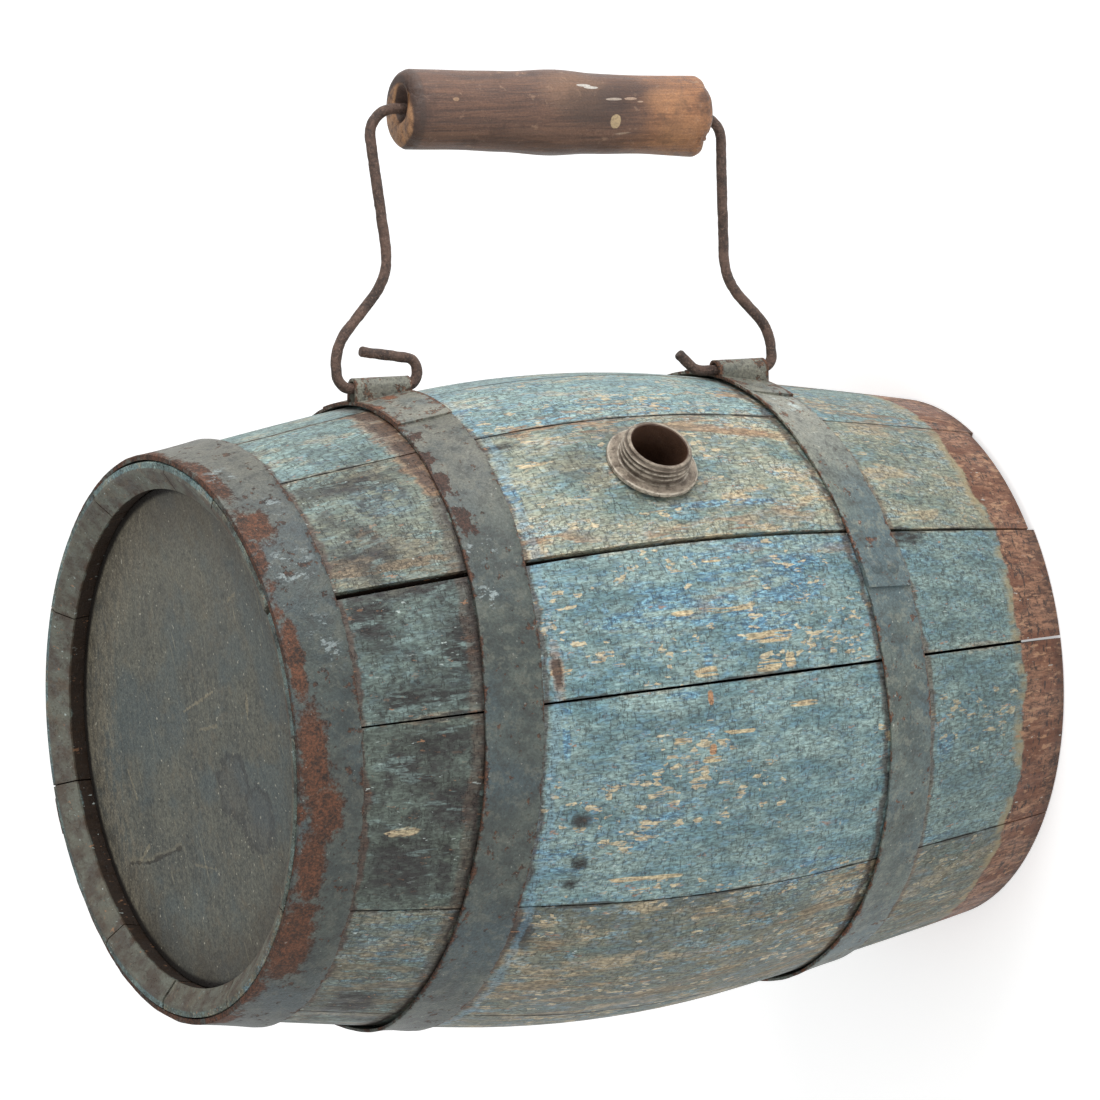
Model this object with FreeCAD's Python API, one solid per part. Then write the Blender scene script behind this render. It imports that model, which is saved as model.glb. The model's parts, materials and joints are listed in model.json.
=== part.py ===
import FreeCAD, Part
import math
import os

# A small stave keg that stands on its bare end, with a screw spout in its side.
# A bent wire bail with a turned wooden grip hangs from two ears on its hoops.
# Millimetres. Z runs up the axis of the keg, and the spout points along minus Y.
# It is drawn around the axis of the keg, then moved to have the origin in the
# middle of the ground that the whole part takes up.

V = FreeCAD.Vector

# The wooden shell
LENGTH = 299.2            # from the bare end to the hooped end
R_END = 93.0              # outside radius at both ends
R_MID = 111.8             # outside radius at the bilge
R_SHOULDER = 108.4        # outside radius where the round bilge runs into the ends
SHOULDER = 98.7           # how far that is from either end
WALL = 10.0               # thickness of a stave
LAND = 3.0                # flat part of each stave end
BEVEL = 4.6               # drop of the bevel inside the stave end
HEAD_SET = 10.6           # face of a head below the stave ends
HEAD_T = 10.0             # thickness of a head
TONGUE_T = 4.0            # thickness of a head's edge in its groove
GROOVE_DEEP = 3.2         # depth of the groove that holds a head
HEAD_FIT = 0.15           # play of a head in its groove

# Joints between staves: direction at the bare end and at the hooped end in
# degrees, then how far the joint is open at each end in millimetres
JOINTS = (
    (-54.0, -54.0, 0.5, 0.6),
    (-18.5, -18.5, 0.5, 0.5),
    (16.5, 16.5, 0.5, 0.5),
    (56.0, 56.0, 0.6, 0.6),
    (95.5, 95.5, 0.5, 0.5),
    (123.5, 123.5, 0.5, 1.4),
    (154.0, 154.0, 0.6, 0.5),
    (190.0, 189.3, 0.5, 0.5),
    (229.8, 227.0, 1.0, 0.6),
    (254.1, 253.2, 0.7, 2.9),
    (283.6, 283.6, 0.5, 0.6),
)
SHRUNK_STAVE = 9          # the spout stave, worn back at the bare end
SHRUNK_BY = 2.4

# Iron hoops: lower edge, upper edge, then how far the hoop sits askew, as the
# rise of its plane at the bilge along X and along Y
HOOP_FIT = 0.1            # how far a hoop stands off the staves
HEAD_HOOP_T = 1.9
HOOP_T = 1.2
MIDDLE = LENGTH / 2
HEAD_HOOP = (LENGTH - 23.4, LENGTH - 0.3, -1.8, -1.1)
UPPER_HOOP = (MIDDLE + 60.1, MIDDLE + 80.4, -9.9, 1.9)
LOWER_HOOP = (MIDDLE - 86.3, MIDDLE - 67.8, 4.1, -4.2)
LAP_DEG = 7.5             # length of each riveted lap
LAP_AT = {"head_hoop": 62.0, "upper_hoop": 118.0, "lower_hoop": -114.0}
RIVET_R = 1.5
RIVET_HEAD_R = 2.7
RIVET_HEAD_H = 1.0

# Screw spout, set square to the bilge
SPOUT_Z = MIDDLE + 0.8
SPOUT_BORE_R = 9.8
SPOUT_RIM_R = 11.3        # neck between the thread ridges
SPOUT_THREAD = 0.9        # height of a thread ridge
SPOUT_TURNS = 3
SPOUT_PITCH = 1.9
SPOUT_COLLAR_R = 16.0
SPOUT_COLLAR_T = 2.1
SPOUT_SHANK_R = 11.5
SPOUT_SHANK_OUT = 1.5     # how far the shank reaches inside the keg
SPOUT_FIT = 0.05

# How far the bodies that only trim or cut others run past them
CLEAR = 5.0
FAR = 4 * R_MID

# Bail: the wire, the eyes it turns in, and its grip
WIRE_R = 1.85
EYE_PLAY = 0.65           # room around the wire inside an eye
EYE_CLEAR = 0.5           # room between the wire and the hoop under it
EAR_T = 1.0               # sheet of the ears
EAR_FIT = 0.05            # paint between an ear and its hoop
UPPER_EAR_AT = -48.5      # direction of each ear from the axis of the keg
LOWER_EAR_AT = -56.7
UPPER_EAR_SPAN = (-19.0, 13.0)
LOWER_EAR_SPAN = (-11.0, 11.0)
BAIL_AT = -45.5           # direction in which the raised bail points
GRIP_R = 14.0
GRIP_BEAD = 0.7           # swell at the middle of the grip
GRIP_BORE_R = 2.7
GRIP_MOUTH_R = 5.2        # worn mouth of the bore
GRIP_MOUTH_DEEP = 6.5
GRIP_ENDS = (10.4, 122.8)

# Bends of the wire in the plane of the bail: height above the eyes, distance
# from the lower eye towards the upper one, then the bend's radius
LOWER_LEG = (
    (6.4, 22.9, 0.0),
    (0.0, 16.4, 7.0),
    (0.0, -13.0, 4.2),
    (13.4, -12.5, 18.0),
    (31.0, 3.9, 22.0),
    (87.6, 2.4, 8.0),
)
UPPER_LEG = (
    (94.7, 134.4, 9.0),
    (37.5, 128.8, 22.0),
    (14.6, 150.0, 18.0),
    (0.0, 150.0, 5.2),
    (0.0, 120.6, 4.5),
    (8.9, 120.6, 4.3),
    (12.4, 141.0, 0.0),
)


def polar(radius, degrees, z=0.0):
    a = math.radians(degrees)
    return V(radius * math.cos(a), radius * math.sin(a), z)


def bilge_arcs():
    """Radius of curvature and centre, as (r, z), of the middle and of the lower
    end of the stave's outline, which run smoothly into each other."""
    half = LENGTH / 2 - SHOULDER
    rise = R_MID - R_SHOULDER
    middle = (half ** 2 + rise ** 2) / (2 * rise)
    centre = R_MID - middle
    out_r = (R_SHOULDER - centre) / middle
    out_z = -half / middle
    to_end_r = R_END - R_SHOULDER
    along = to_end_r * out_r - SHOULDER * out_z
    end = -(to_end_r ** 2 + SHOULDER ** 2) / (2 * along)
    return (middle, centre, LENGTH / 2), (end, R_SHOULDER - end * out_r, SHOULDER - end * out_z)


BILGE_ARCS = bilge_arcs()


def outer_r(z):
    """Outside radius of the wooden shell at height z."""
    low = min(z, LENGTH - z)
    radius, centre_r, centre_z = BILGE_ARCS[0] if low > SHOULDER else BILGE_ARCS[1]
    reach = math.sqrt(radius ** 2 - (low - centre_z) ** 2)
    return centre_r + math.copysign(reach, radius)


def on_bilge(z, offset=0.0):
    return V(outer_r(z) + offset, 0, z)


def bilge_curve(offset, low, high):
    """Bilge in the XZ plane, moved out by offset, as arcs."""
    stops = [low] + [z for z in (SHOULDER, LENGTH - SHOULDER) if low < z < high] + [high]
    return [Part.Arc(on_bilge(a, offset), on_bilge((a + b) / 2, offset),
                     on_bilge(b, offset)).toShape() for a, b in zip(stops, stops[1:])]


def chain(points):
    return [Part.makeLine(a, b) for a, b in zip(points, points[1:])]


def closed_face(edges):
    return Part.Face(Part.Wire(Part.__sortEdges__(edges)))


def swung(face, start, span):
    """Body that a face in the XZ plane sweeps around the axis of the keg."""
    body = face.copy()
    body.rotate(V(0, 0, 0), V(0, 0, 1), start)
    return body.revolve(V(0, 0, 0), V(0, 0, 1), span)


# Heads and their grooves

def groove_centre(upper):
    inset = HEAD_SET + HEAD_T / 2
    return LENGTH - inset if upper else inset


def groove_bottom_r(upper):
    return outer_r(groove_centre(upper)) - WALL + GROOVE_DEEP


def head_groove(upper):
    """Points of the inside of a stave past one groove, from its end inwards."""
    z = groove_centre(upper)
    way = 1.0 if upper else -1.0
    half = TONGUE_T / 2 + HEAD_FIT
    end = LENGTH if upper else 0.0
    inner = outer_r(z) - WALL
    deep = inner + GROOVE_DEEP
    return [
        V(R_END, 0, end),
        V(R_END - LAND, 0, end),
        V(outer_r(end - way * BEVEL) - WALL, 0, end - way * BEVEL),
        V(inner, 0, z + way * half),
        V(deep, 0, z + way * half),
        V(deep, 0, z - way * half),
        V(outer_r(z - way * half) - WALL, 0, z - way * half),
    ]


def wall_section():
    """Section of the shell with both bevelled ends and both grooves."""
    top = head_groove(True)
    low = head_groove(False)
    edges = chain(top) + chain(low)
    edges += bilge_curve(0.0, 0.0, LENGTH)
    edges += bilge_curve(-WALL, low[-1].z, top[-1].z)
    return closed_face(edges)


def head(upper):
    """Board with a bevelled edge that sits in the grooves of the staves."""
    z = groove_centre(upper)
    half = HEAD_T / 2
    tongue = TONGUE_T / 2
    edge = groove_bottom_r(upper) - HEAD_FIT
    bevel = edge - GROOVE_DEEP - 4.0
    way = 1.0 if upper else -1.0
    inside = outer_r(z) - WALL
    points = [
        V(0, 0, z - way * half),
        V(bevel, 0, z - way * half),
        V(inside - 0.3, 0, z - way * tongue),
        V(edge, 0, z - way * tongue),
        V(edge, 0, z + way * tongue),
        V(inside - 0.3, 0, z + way * tongue),
        V(inside - 0.3, 0, z + way * (half - 0.8)),
        V(inside - 1.1, 0, z + way * half),
        V(0, 0, z + way * half),
        V(0, 0, z - way * half),
    ]
    face = Part.Face(Part.makePolygon(points))
    return face.revolve(V(0, 0, 0), V(0, 0, 1), 360)


# Staves

def joint_line(joint, side):
    """Foot and top of one side of a joint, and the way it faces outwards."""
    far, near, far_gap, near_gap = joint
    radius = (R_END + R_MID) / 2
    foot = far + side * math.degrees(far_gap / 2 / radius)
    top = near + side * math.degrees(near_gap / 2 / radius)
    return polar(radius, foot, 0), polar(radius, top, LENGTH), polar(1, (foot + top) / 2)


def stave_prism(first, second):
    """Room between two joints, with a flat face along each of them."""
    rims = []
    lines = (joint_line(first, 1.0), joint_line(second, -1.0))
    middle = polar(1, (first[0] + second[0]) / 2)
    for z in (-CLEAR, LENGTH + CLEAR):
        inner = []
        outer = []
        for foot, top, out in lines:
            p = foot + (top - foot) * (z / LENGTH)
            inner.append(p - out * (R_MID - R_END + WALL + CLEAR))
            outer.append(p + out * (R_MID - R_END + WALL + CLEAR))
        far = middle * (1.6 * R_MID) + V(0, 0, z)
        rims.append([inner[0], outer[0], far, outer[1], inner[1], inner[0]])
    wires = [Part.makePolygon(rim) for rim in rims]
    return Part.makeLoft(wires, True, True)


def stave(index, section):
    first = JOINTS[index]
    second = JOINTS[(index + 1) % len(JOINTS)]
    if second[0] < first[0]:
        second = (second[0] + 360.0, second[1] + 360.0) + second[2:]
    start = min(first[0], first[1]) - 2.0
    span = max(second[0], second[1]) + 2.0 - start
    body = swung(section, start, span).common(stave_prism(first, second))
    if index == SHRUNK_STAVE:
        trim = Part.makeBox(FAR, FAR, SHRUNK_BY + CLEAR, V(-FAR / 2, -FAR / 2, -CLEAR))
        hole = Part.makeCylinder(SPOUT_SHANK_R + SPOUT_FIT, R_MID / 2,
                                 V(0, -R_MID - CLEAR, SPOUT_Z), V(0, 1, 0))
        body = body.cut(trim).cut(hole)
    return body.Solids[0]


# Hoops

def hoop_slab(hoop):
    """Slice between the two edges of a hoop, askew as the hoop is."""
    low, high, rise_x, rise_y = hoop
    normal = V(-rise_x / R_MID, -rise_y / R_MID, 1.0)
    slab = Part.makeBox(FAR, FAR, high - low, V(-FAR / 2, -FAR / 2, 0))
    slab.Placement = FreeCAD.Placement(V(0, 0, low), FreeCAD.Rotation(V(0, 0, 1), normal),
                                       V(0, 0, 0))
    return slab


def hoop_reach(hoop):
    """Lowest and highest point of a hoop that sits askew."""
    slack = math.hypot(hoop[2], hoop[3]) + 1.0
    return max(hoop[0] - slack, 0.0), min(hoop[1] + slack, LENGTH)


def hoop_r(hoop, z):
    """Inside radius of a hoop at height z: a plain cone, just clear of the bilge."""
    low, high = hoop_reach(hoop)
    foot = outer_r(low)
    top = outer_r(high)
    bow = max(outer_r(low + (high - low) * i / 8) - foot - (top - foot) * i / 8
              for i in range(9))
    return foot + (top - foot) * (z - low) / (high - low) + bow + HOOP_FIT


def band(hoop, inside, outside, start=0.0, span=360.0):
    """Sheet between two offsets from the inside of a hoop, cut to its edges."""
    low, high = hoop_reach(hoop)
    corners = [V(hoop_r(hoop, z) + offset, 0, z)
               for z, offset in ((low, inside), (low, outside), (high, outside), (high, inside))]
    sheet = swung(Part.Face(Part.makePolygon(corners + corners[:1])), start, span)
    return sheet.common(hoop_slab(hoop))


def hoop_body(hoop, thick, lap_at):
    ring = band(hoop, 0.0, thick, lap_at + 180.0)
    lap = band(hoop, thick / 2, 2 * thick, lap_at - LAP_DEG / 2, LAP_DEG)
    return ring.fuse(lap)


def hoop_height(hoop, degrees, share):
    """Height on a hoop at a direction, share 0 at its lower edge, 1 at its upper."""
    low, high, rise_x, rise_y = hoop
    a = math.radians(degrees)
    return low + (high - low) * share + rise_x * math.cos(a) + rise_y * math.sin(a)


def rivet_at(hoop, degrees, share, seat):
    """Button rivet through a sheet whose outside is at offset seat on a hoop."""
    z = hoop_height(hoop, degrees, share)
    slope = math.atan(hoop_r(hoop, z + 0.5) - hoop_r(hoop, z - 0.5))
    deep = seat * math.cos(slope)
    head = Part.makeCone(RIVET_HEAD_R, RIVET_HEAD_R * 0.45, RIVET_HEAD_H)
    shank = Part.makeCylinder(RIVET_R, deep, V(0, 0, -deep), V(0, 0, 1))
    rivet = head.fuse(shank).removeSplitter()
    tool = Part.makeCylinder(RIVET_R, 2 * seat, V(0, 0, -1.5 * seat), V(0, 0, 1))
    turn = FreeCAD.Rotation(V(0, 0, 1), degrees).multiply(
        FreeCAD.Rotation(V(0, 1, 0), 90.0 + math.degrees(slope)))
    place = FreeCAD.Placement(polar(hoop_r(hoop, z) + seat, degrees, z), turn)
    rivet.Placement = place
    tool.Placement = place
    return rivet, tool


# Eyes and ears for the bail

def eye_r(hoop, degrees):
    """Distance of the bail's eye from the axis, just clear of its hoop."""
    highest = max(hoop_r(hoop, hoop_height(hoop, degrees, share)) for share in (0.0, 1.0))
    return highest + HOOP_T + EYE_CLEAR + WIRE_R


LOWER_EYE = polar(eye_r(LOWER_HOOP, LOWER_EAR_AT), LOWER_EAR_AT,
                  hoop_height(LOWER_HOOP, LOWER_EAR_AT, 0.5))
UPPER_EYE = polar(eye_r(UPPER_HOOP, UPPER_EAR_AT), UPPER_EAR_AT,
                  hoop_height(UPPER_HOOP, UPPER_EAR_AT, 0.5))
EYE_AXIS = (UPPER_EYE - LOWER_EYE).normalize()
BAIL_UP = polar(1, BAIL_AT) - EYE_AXIS * (polar(1, BAIL_AT).dot(EYE_AXIS))
BAIL_UP.normalize()


def ear(hoop, eye, at, spread):
    """Sheet strap bent over the wire, with a leaf on the hoop at each side."""
    seat = HOOP_T + EAR_FIT
    leaf = band(hoop, seat, seat + EAR_T, at + spread[0], spread[1] - spread[0])
    length = hoop[1] - hoop[0] + 12.0 * WIRE_R
    deep = 4 * WIRE_R
    out = polar(1, at)
    out = (out - EYE_AXIS * out.dot(EYE_AXIS)).normalize()
    start = eye - EYE_AXIS * (length / 2)
    side = EYE_AXIS.cross(out)
    bodies = []
    for radius in (WIRE_R + EYE_PLAY + EAR_T, WIRE_R + EYE_PLAY):
        roof = Part.makeCylinder(radius, length, start, EYE_AXIS)
        foot = Part.makePolygon([start - side * radius, start + side * radius,
                                 start + side * radius - out * deep,
                                 start - side * radius - out * deep,
                                 start - side * radius])
        legs = Part.Face(foot).extrude(EYE_AXIS * length)
        bodies.append(roof.fuse(legs))
    core = band(hoop, -deep, seat, at + 1.6 * spread[0], 1.6 * (spread[1] - spread[0]))
    arch = bodies[0].cut(core).common(hoop_slab(hoop))
    strap = leaf.fuse(arch).cut(bodies[1])
    solids = sorted(strap.removeSplitter().Solids, key=lambda s: s.Volume)
    return solids[-1]


# Bail wire and grip

def on_bail(height, along):
    return LOWER_EYE + BAIL_UP * height + EYE_AXIS * along


def bent_path(stops):
    """Straight lengths joined by round bends through a list of stops."""
    points = [on_bail(h, s) for h, s, r in stops]
    edges = []
    last = points[0]
    for i in range(1, len(points) - 1):
        corner = points[i]
        to_last = (points[i - 1] - corner).normalize()
        to_next = (points[i + 1] - corner).normalize()
        half = to_last.getAngle(to_next) / 2
        reach = stops[i][2] / math.tan(half)
        begin = corner + to_last * reach
        end = corner + to_next * reach
        bisector = (to_last + to_next).normalize()
        centre = corner + bisector * (stops[i][2] / math.sin(half))
        middle = centre - bisector * stops[i][2]
        edges.append(Part.makeLine(last, begin))
        edges.append(Part.Arc(begin, middle, end).toShape())
        last = end
    edges.append(Part.makeLine(last, points[-1]))
    return Part.Wire(edges)


def bail_wire():
    path = bent_path(LOWER_LEG + UPPER_LEG)
    first = path.Edges[0]
    start = first.valueAt(first.FirstParameter)
    ring = Part.makeCircle(WIRE_R, start, first.tangentAt(first.FirstParameter))
    return path.makePipeShell([Part.Wire([ring])], True, True)


def grip_axis():
    """Two points of the straight length of wire that carries the grip."""
    low = on_bail(*LOWER_LEG[-1][:2])
    high = on_bail(*UPPER_LEG[0][:2])
    return low, (high - low).normalize()


def grip():
    """Turned handle with a bead at the middle and a worn bore."""
    long = GRIP_ENDS[1] - GRIP_ENDS[0]
    edge = 2.2
    foot = Part.makeLine(V(GRIP_BORE_R, 0, GRIP_MOUTH_DEEP),
                         V(GRIP_BORE_R, 0, long - GRIP_MOUTH_DEEP))
    waist = GRIP_R - 0.4
    bead = GRIP_R + GRIP_BEAD
    curve = [
        Part.Arc(V(GRIP_R, 0, edge), V(waist, 0, long * 0.22), V(waist + 0.3, 0, long * 0.36)),
        Part.Arc(V(waist + 0.3, 0, long * 0.36), V(bead, 0, long * 0.5),
                 V(waist + 0.2, 0, long * 0.66)),
        Part.Arc(V(waist + 0.2, 0, long * 0.66), V(waist, 0, long * 0.8),
                 V(GRIP_R - 0.3, 0, long - edge)),
    ]
    corner = GRIP_R - 0.3 - edge
    low = chain([V(GRIP_BORE_R, 0, GRIP_MOUTH_DEEP), V(GRIP_MOUTH_R, 0, 0),
                 V(GRIP_R - edge, 0, 0)])
    low_round = Part.Arc(V(GRIP_R - edge, 0, 0), V(GRIP_R - edge * 0.29, 0, edge * 0.29),
                         V(GRIP_R, 0, edge)).toShape()
    high = chain([V(GRIP_BORE_R, 0, long - GRIP_MOUTH_DEEP), V(GRIP_MOUTH_R, 0, long),
                  V(corner, 0, long)])
    high_round = Part.Arc(V(corner, 0, long), V(GRIP_R - 0.3 - edge * 0.29, 0, long - edge * 0.29),
                          V(GRIP_R - 0.3, 0, long - edge)).toShape()
    edges = [foot, low_round, high_round] + [arc.toShape() for arc in curve] + low + high
    body = closed_face(edges).revolve(V(0, 0, 0), V(0, 0, 1), 360)
    base, way = grip_axis()
    near = base + way * (GRIP_ENDS[0] - LOWER_LEG[-1][1])
    body.Placement = FreeCAD.Placement(near, FreeCAD.Rotation(V(0, 0, 1), way))
    return body


# Spout

def spout():
    """Threaded neck and collar on a shank that passes through its stave."""
    seat = max(outer_r(SPOUT_Z + SPOUT_COLLAR_R * i / 4) for i in range(-4, 5))
    neck = SPOUT_COLLAR_T + SPOUT_TURNS * SPOUT_PITCH + 1.6
    inside = -(WALL + SPOUT_SHANK_OUT)
    points = [V(SPOUT_BORE_R, 0, inside), V(SPOUT_SHANK_R, 0, inside),
              V(SPOUT_SHANK_R, 0, 0), V(SPOUT_COLLAR_R - 0.4, 0, 0),
              V(SPOUT_COLLAR_R, 0, 0.5), V(SPOUT_COLLAR_R, 0, SPOUT_COLLAR_T - 0.6),
              V(SPOUT_COLLAR_R - 0.8, 0, SPOUT_COLLAR_T), V(SPOUT_RIM_R, 0, SPOUT_COLLAR_T)]
    for turn in range(SPOUT_TURNS):
        z = SPOUT_COLLAR_T + 0.7 + turn * SPOUT_PITCH
        points.append(V(SPOUT_RIM_R, 0, z))
        points.append(V(SPOUT_RIM_R + SPOUT_THREAD, 0, z + SPOUT_PITCH * 0.38))
        points.append(V(SPOUT_RIM_R + SPOUT_THREAD, 0, z + SPOUT_PITCH * 0.54))
        points.append(V(SPOUT_RIM_R, 0, z + SPOUT_PITCH * 0.92))
    points.append(V(SPOUT_RIM_R, 0, neck - 0.3))
    points.append(V(SPOUT_RIM_R - 0.3, 0, neck))
    points.append(V(SPOUT_BORE_R, 0, neck))
    points.append(points[0])
    body = Part.Face(Part.makePolygon(points)).revolve(V(0, 0, 0), V(0, 0, 1), 360)
    body.Placement = FreeCAD.Placement(V(0, -seat, SPOUT_Z), FreeCAD.Rotation(V(1, 0, 0), 90))
    return body


def build():
    parts = {}
    section = wall_section()
    for index in range(len(JOINTS)):
        parts["stave_%02d" % (index + 1)] = stave(index, section)
    parts["head_upper"] = head(True)
    parts["head_lower"] = head(False)

    hoops = {"head_hoop": (HEAD_HOOP, HEAD_HOOP_T), "upper_hoop": (UPPER_HOOP, HOOP_T),
             "lower_hoop": (LOWER_HOOP, HOOP_T)}
    hoop_rivets = []
    for name, (hoop, thick) in hoops.items():
        body = hoop_body(hoop, thick, LAP_AT[name])
        for share in (0.3, 0.7):
            rivet, hole = rivet_at(hoop, LAP_AT[name], share, 2 * thick)
            body = body.cut(hole)
            hoop_rivets.append(rivet)
        parts[name] = body.removeSplitter().Solids[0]

    ear_rivets = []
    ears = (("ear_upper", "upper_hoop", UPPER_HOOP, UPPER_EYE, UPPER_EAR_AT, UPPER_EAR_SPAN),
            ("ear_lower", "lower_hoop", LOWER_HOOP, LOWER_EYE, LOWER_EAR_AT, LOWER_EAR_SPAN))
    for name, carrier, hoop, eye, at, spread in ears:
        strap = ear(hoop, eye, at, spread)
        for place in (spread[0] * 0.62, spread[1] * 0.62):
            rivet, hole = rivet_at(hoop, at + place, 0.5, HOOP_T + EAR_FIT + EAR_T)
            strap = strap.cut(hole)
            parts[carrier] = parts[carrier].cut(hole)
            ear_rivets.append(rivet)
        parts[name] = strap
    parts["hoop_rivets"] = Part.makeCompound(hoop_rivets)
    parts["ear_rivets"] = Part.makeCompound(ear_rivets)
    parts["spout"] = spout()
    parts["bail_wire"] = bail_wire()
    parts["grip"] = grip()
    return parts


def footprint_middle(shapes):
    """Middle of the part as seen from above, in the plane that it stands on."""
    box = Part.makeCompound(shapes).optimalBoundingBox()
    return V((box.XMin + box.XMax) / 2, (box.YMin + box.YMax) / 2, 0)


os.makedirs("parts", exist_ok=True)
made = build()
to_origin = -footprint_middle(list(made.values()))
for name, shape in made.items():
    shape.translate(to_origin)
    shape.exportStep("parts/" + name + ".step")
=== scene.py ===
import json
import math

import bmesh
import bpy
from mathutils import Matrix, Vector, noise

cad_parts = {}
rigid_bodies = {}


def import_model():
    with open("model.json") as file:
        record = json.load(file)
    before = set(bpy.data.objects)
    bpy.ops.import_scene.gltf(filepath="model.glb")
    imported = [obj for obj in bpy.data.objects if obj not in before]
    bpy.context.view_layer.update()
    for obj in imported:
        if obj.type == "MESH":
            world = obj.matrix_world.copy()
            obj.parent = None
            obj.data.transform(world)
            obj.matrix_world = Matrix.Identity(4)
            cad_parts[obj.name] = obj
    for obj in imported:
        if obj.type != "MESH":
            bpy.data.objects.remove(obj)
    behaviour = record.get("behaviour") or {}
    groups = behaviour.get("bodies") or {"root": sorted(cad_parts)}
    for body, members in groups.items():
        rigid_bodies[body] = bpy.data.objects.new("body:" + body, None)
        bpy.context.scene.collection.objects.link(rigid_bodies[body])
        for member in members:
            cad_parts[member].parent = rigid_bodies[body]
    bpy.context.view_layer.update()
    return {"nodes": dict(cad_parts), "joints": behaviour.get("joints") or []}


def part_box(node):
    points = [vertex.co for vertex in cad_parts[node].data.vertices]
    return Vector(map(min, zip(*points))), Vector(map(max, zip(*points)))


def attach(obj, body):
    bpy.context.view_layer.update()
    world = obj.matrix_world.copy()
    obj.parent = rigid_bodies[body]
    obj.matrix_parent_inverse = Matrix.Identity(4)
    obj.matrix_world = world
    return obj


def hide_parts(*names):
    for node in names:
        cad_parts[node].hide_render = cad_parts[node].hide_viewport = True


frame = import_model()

MM = 0.001

# Main sizes of the keg in metres, as in the solids
LENGTH = 0.2992
R_MID = 0.1118
R_END = 0.093
R_SHOULDER = 0.1084
SHOULDER = 0.0987
lo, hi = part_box("head_lower")
AXIS = Vector(((lo.x + hi.x) / 2, (lo.y + hi.y) / 2, 0))
BAND = 0.019              # bare wood that the lost hoop covered

# Hoops: lower edge, upper edge, rise of the plane at R_MID along X and Y
HEAD_HOOP = (0.2758, 0.2989, -0.0018, -0.0011)
UPPER_HOOP = (0.2097, 0.23, -0.0099, 0.0019)
LOWER_HOOP = (0.0633, 0.0818, 0.0041, -0.0042)

HOOP_FIT = 0.0001
HEAD_HOOP_T = 0.0019
HOOP_T = 0.0012
LAP_DEG = 7.5

# Screw spout
SPOUT_BORE_R = 0.0098
SPOUT_RIM_R = 0.0113
SPOUT_THREAD = 0.0009
SPOUT_TURNS = 3
SPOUT_PITCH = 0.0019
SPOUT_COLLAR_R = 0.016
SPOUT_COLLAR_T = 0.0021
SPOUT_SHANK_R = 0.0115

# Bail: its eyes, then its bends in millimetres as height above the eyes,
# distance from the lower eye towards the upper one, and the bend's radius
joint = next(j for j in frame["joints"] if j["name"] == "bail_swing")
LOWER_EYE = Vector(joint["pos_m"])
EYE_AXIS = Vector(joint["axis"]).normalized()
BAIL_AT = -45.5
WIRE_R = 0.00185
BAIL_BENDS = (
    (6.4, 22.9, 0),
    (0, 16.4, 7),
    (0, -13, 4.2),
    (13.4, -12.5, 18),
    (31, 3.9, 22),
    (87.6, 2.4, 8),
    (94.7, 134.4, 9),
    (37.5, 128.8, 22),
    (14.6, 150, 18),
    (0, 150, 5.2),
    (0, 120.6, 4.5),
    (8.9, 120.6, 4.3),
    (12.4, 141, 0),
)
GRIP_ENDS = (10.4, 122.8)
GRIP_LONG = GRIP_ENDS[1] - GRIP_ENDS[0]


def rgb(r, g, b):
    """Colour from sRGB values out of 255."""
    return tuple((c / 255 / 12.92) if c < 10.3 else ((c / 255 + 0.055) / 1.055) ** 2.4
                 for c in (r, g, b)) + (1,)


def polar(radius, degrees, z=0.0):
    a = math.radians(degrees)
    return Vector((radius * math.cos(a), radius * math.sin(a), z))


def spot(degrees, z_mm):
    """Place on the outside of the shell: direction, height in millimetres."""
    z = z_mm * MM
    share = (z - LENGTH / 2) / (LENGTH / 2)
    return AXIS + polar(R_MID - (R_MID - R_END) * share ** 2, degrees, z)


class Value:
    """Outlet of a node; plain arithmetic on it adds math nodes to its look."""

    def __init__(self, look, socket):
        self.look = look
        self.socket = socket

    def __add__(self, other):
        return self.look.math("ADD", self, other)

    def __sub__(self, other):
        return self.look.math("SUBTRACT", self, other)

    def __rsub__(self, other):
        return self.look.math("SUBTRACT", other, self)

    def __mul__(self, other):
        return self.look.math("MULTIPLY", self, other)

    def __truediv__(self, other):
        return self.look.math("DIVIDE", self, other)

    def __pow__(self, other):
        return self.look.math("POWER", self, other)

    def __abs__(self):
        return self.look.math("ABSOLUTE", self)

    __radd__ = __add__
    __rmul__ = __mul__


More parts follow.
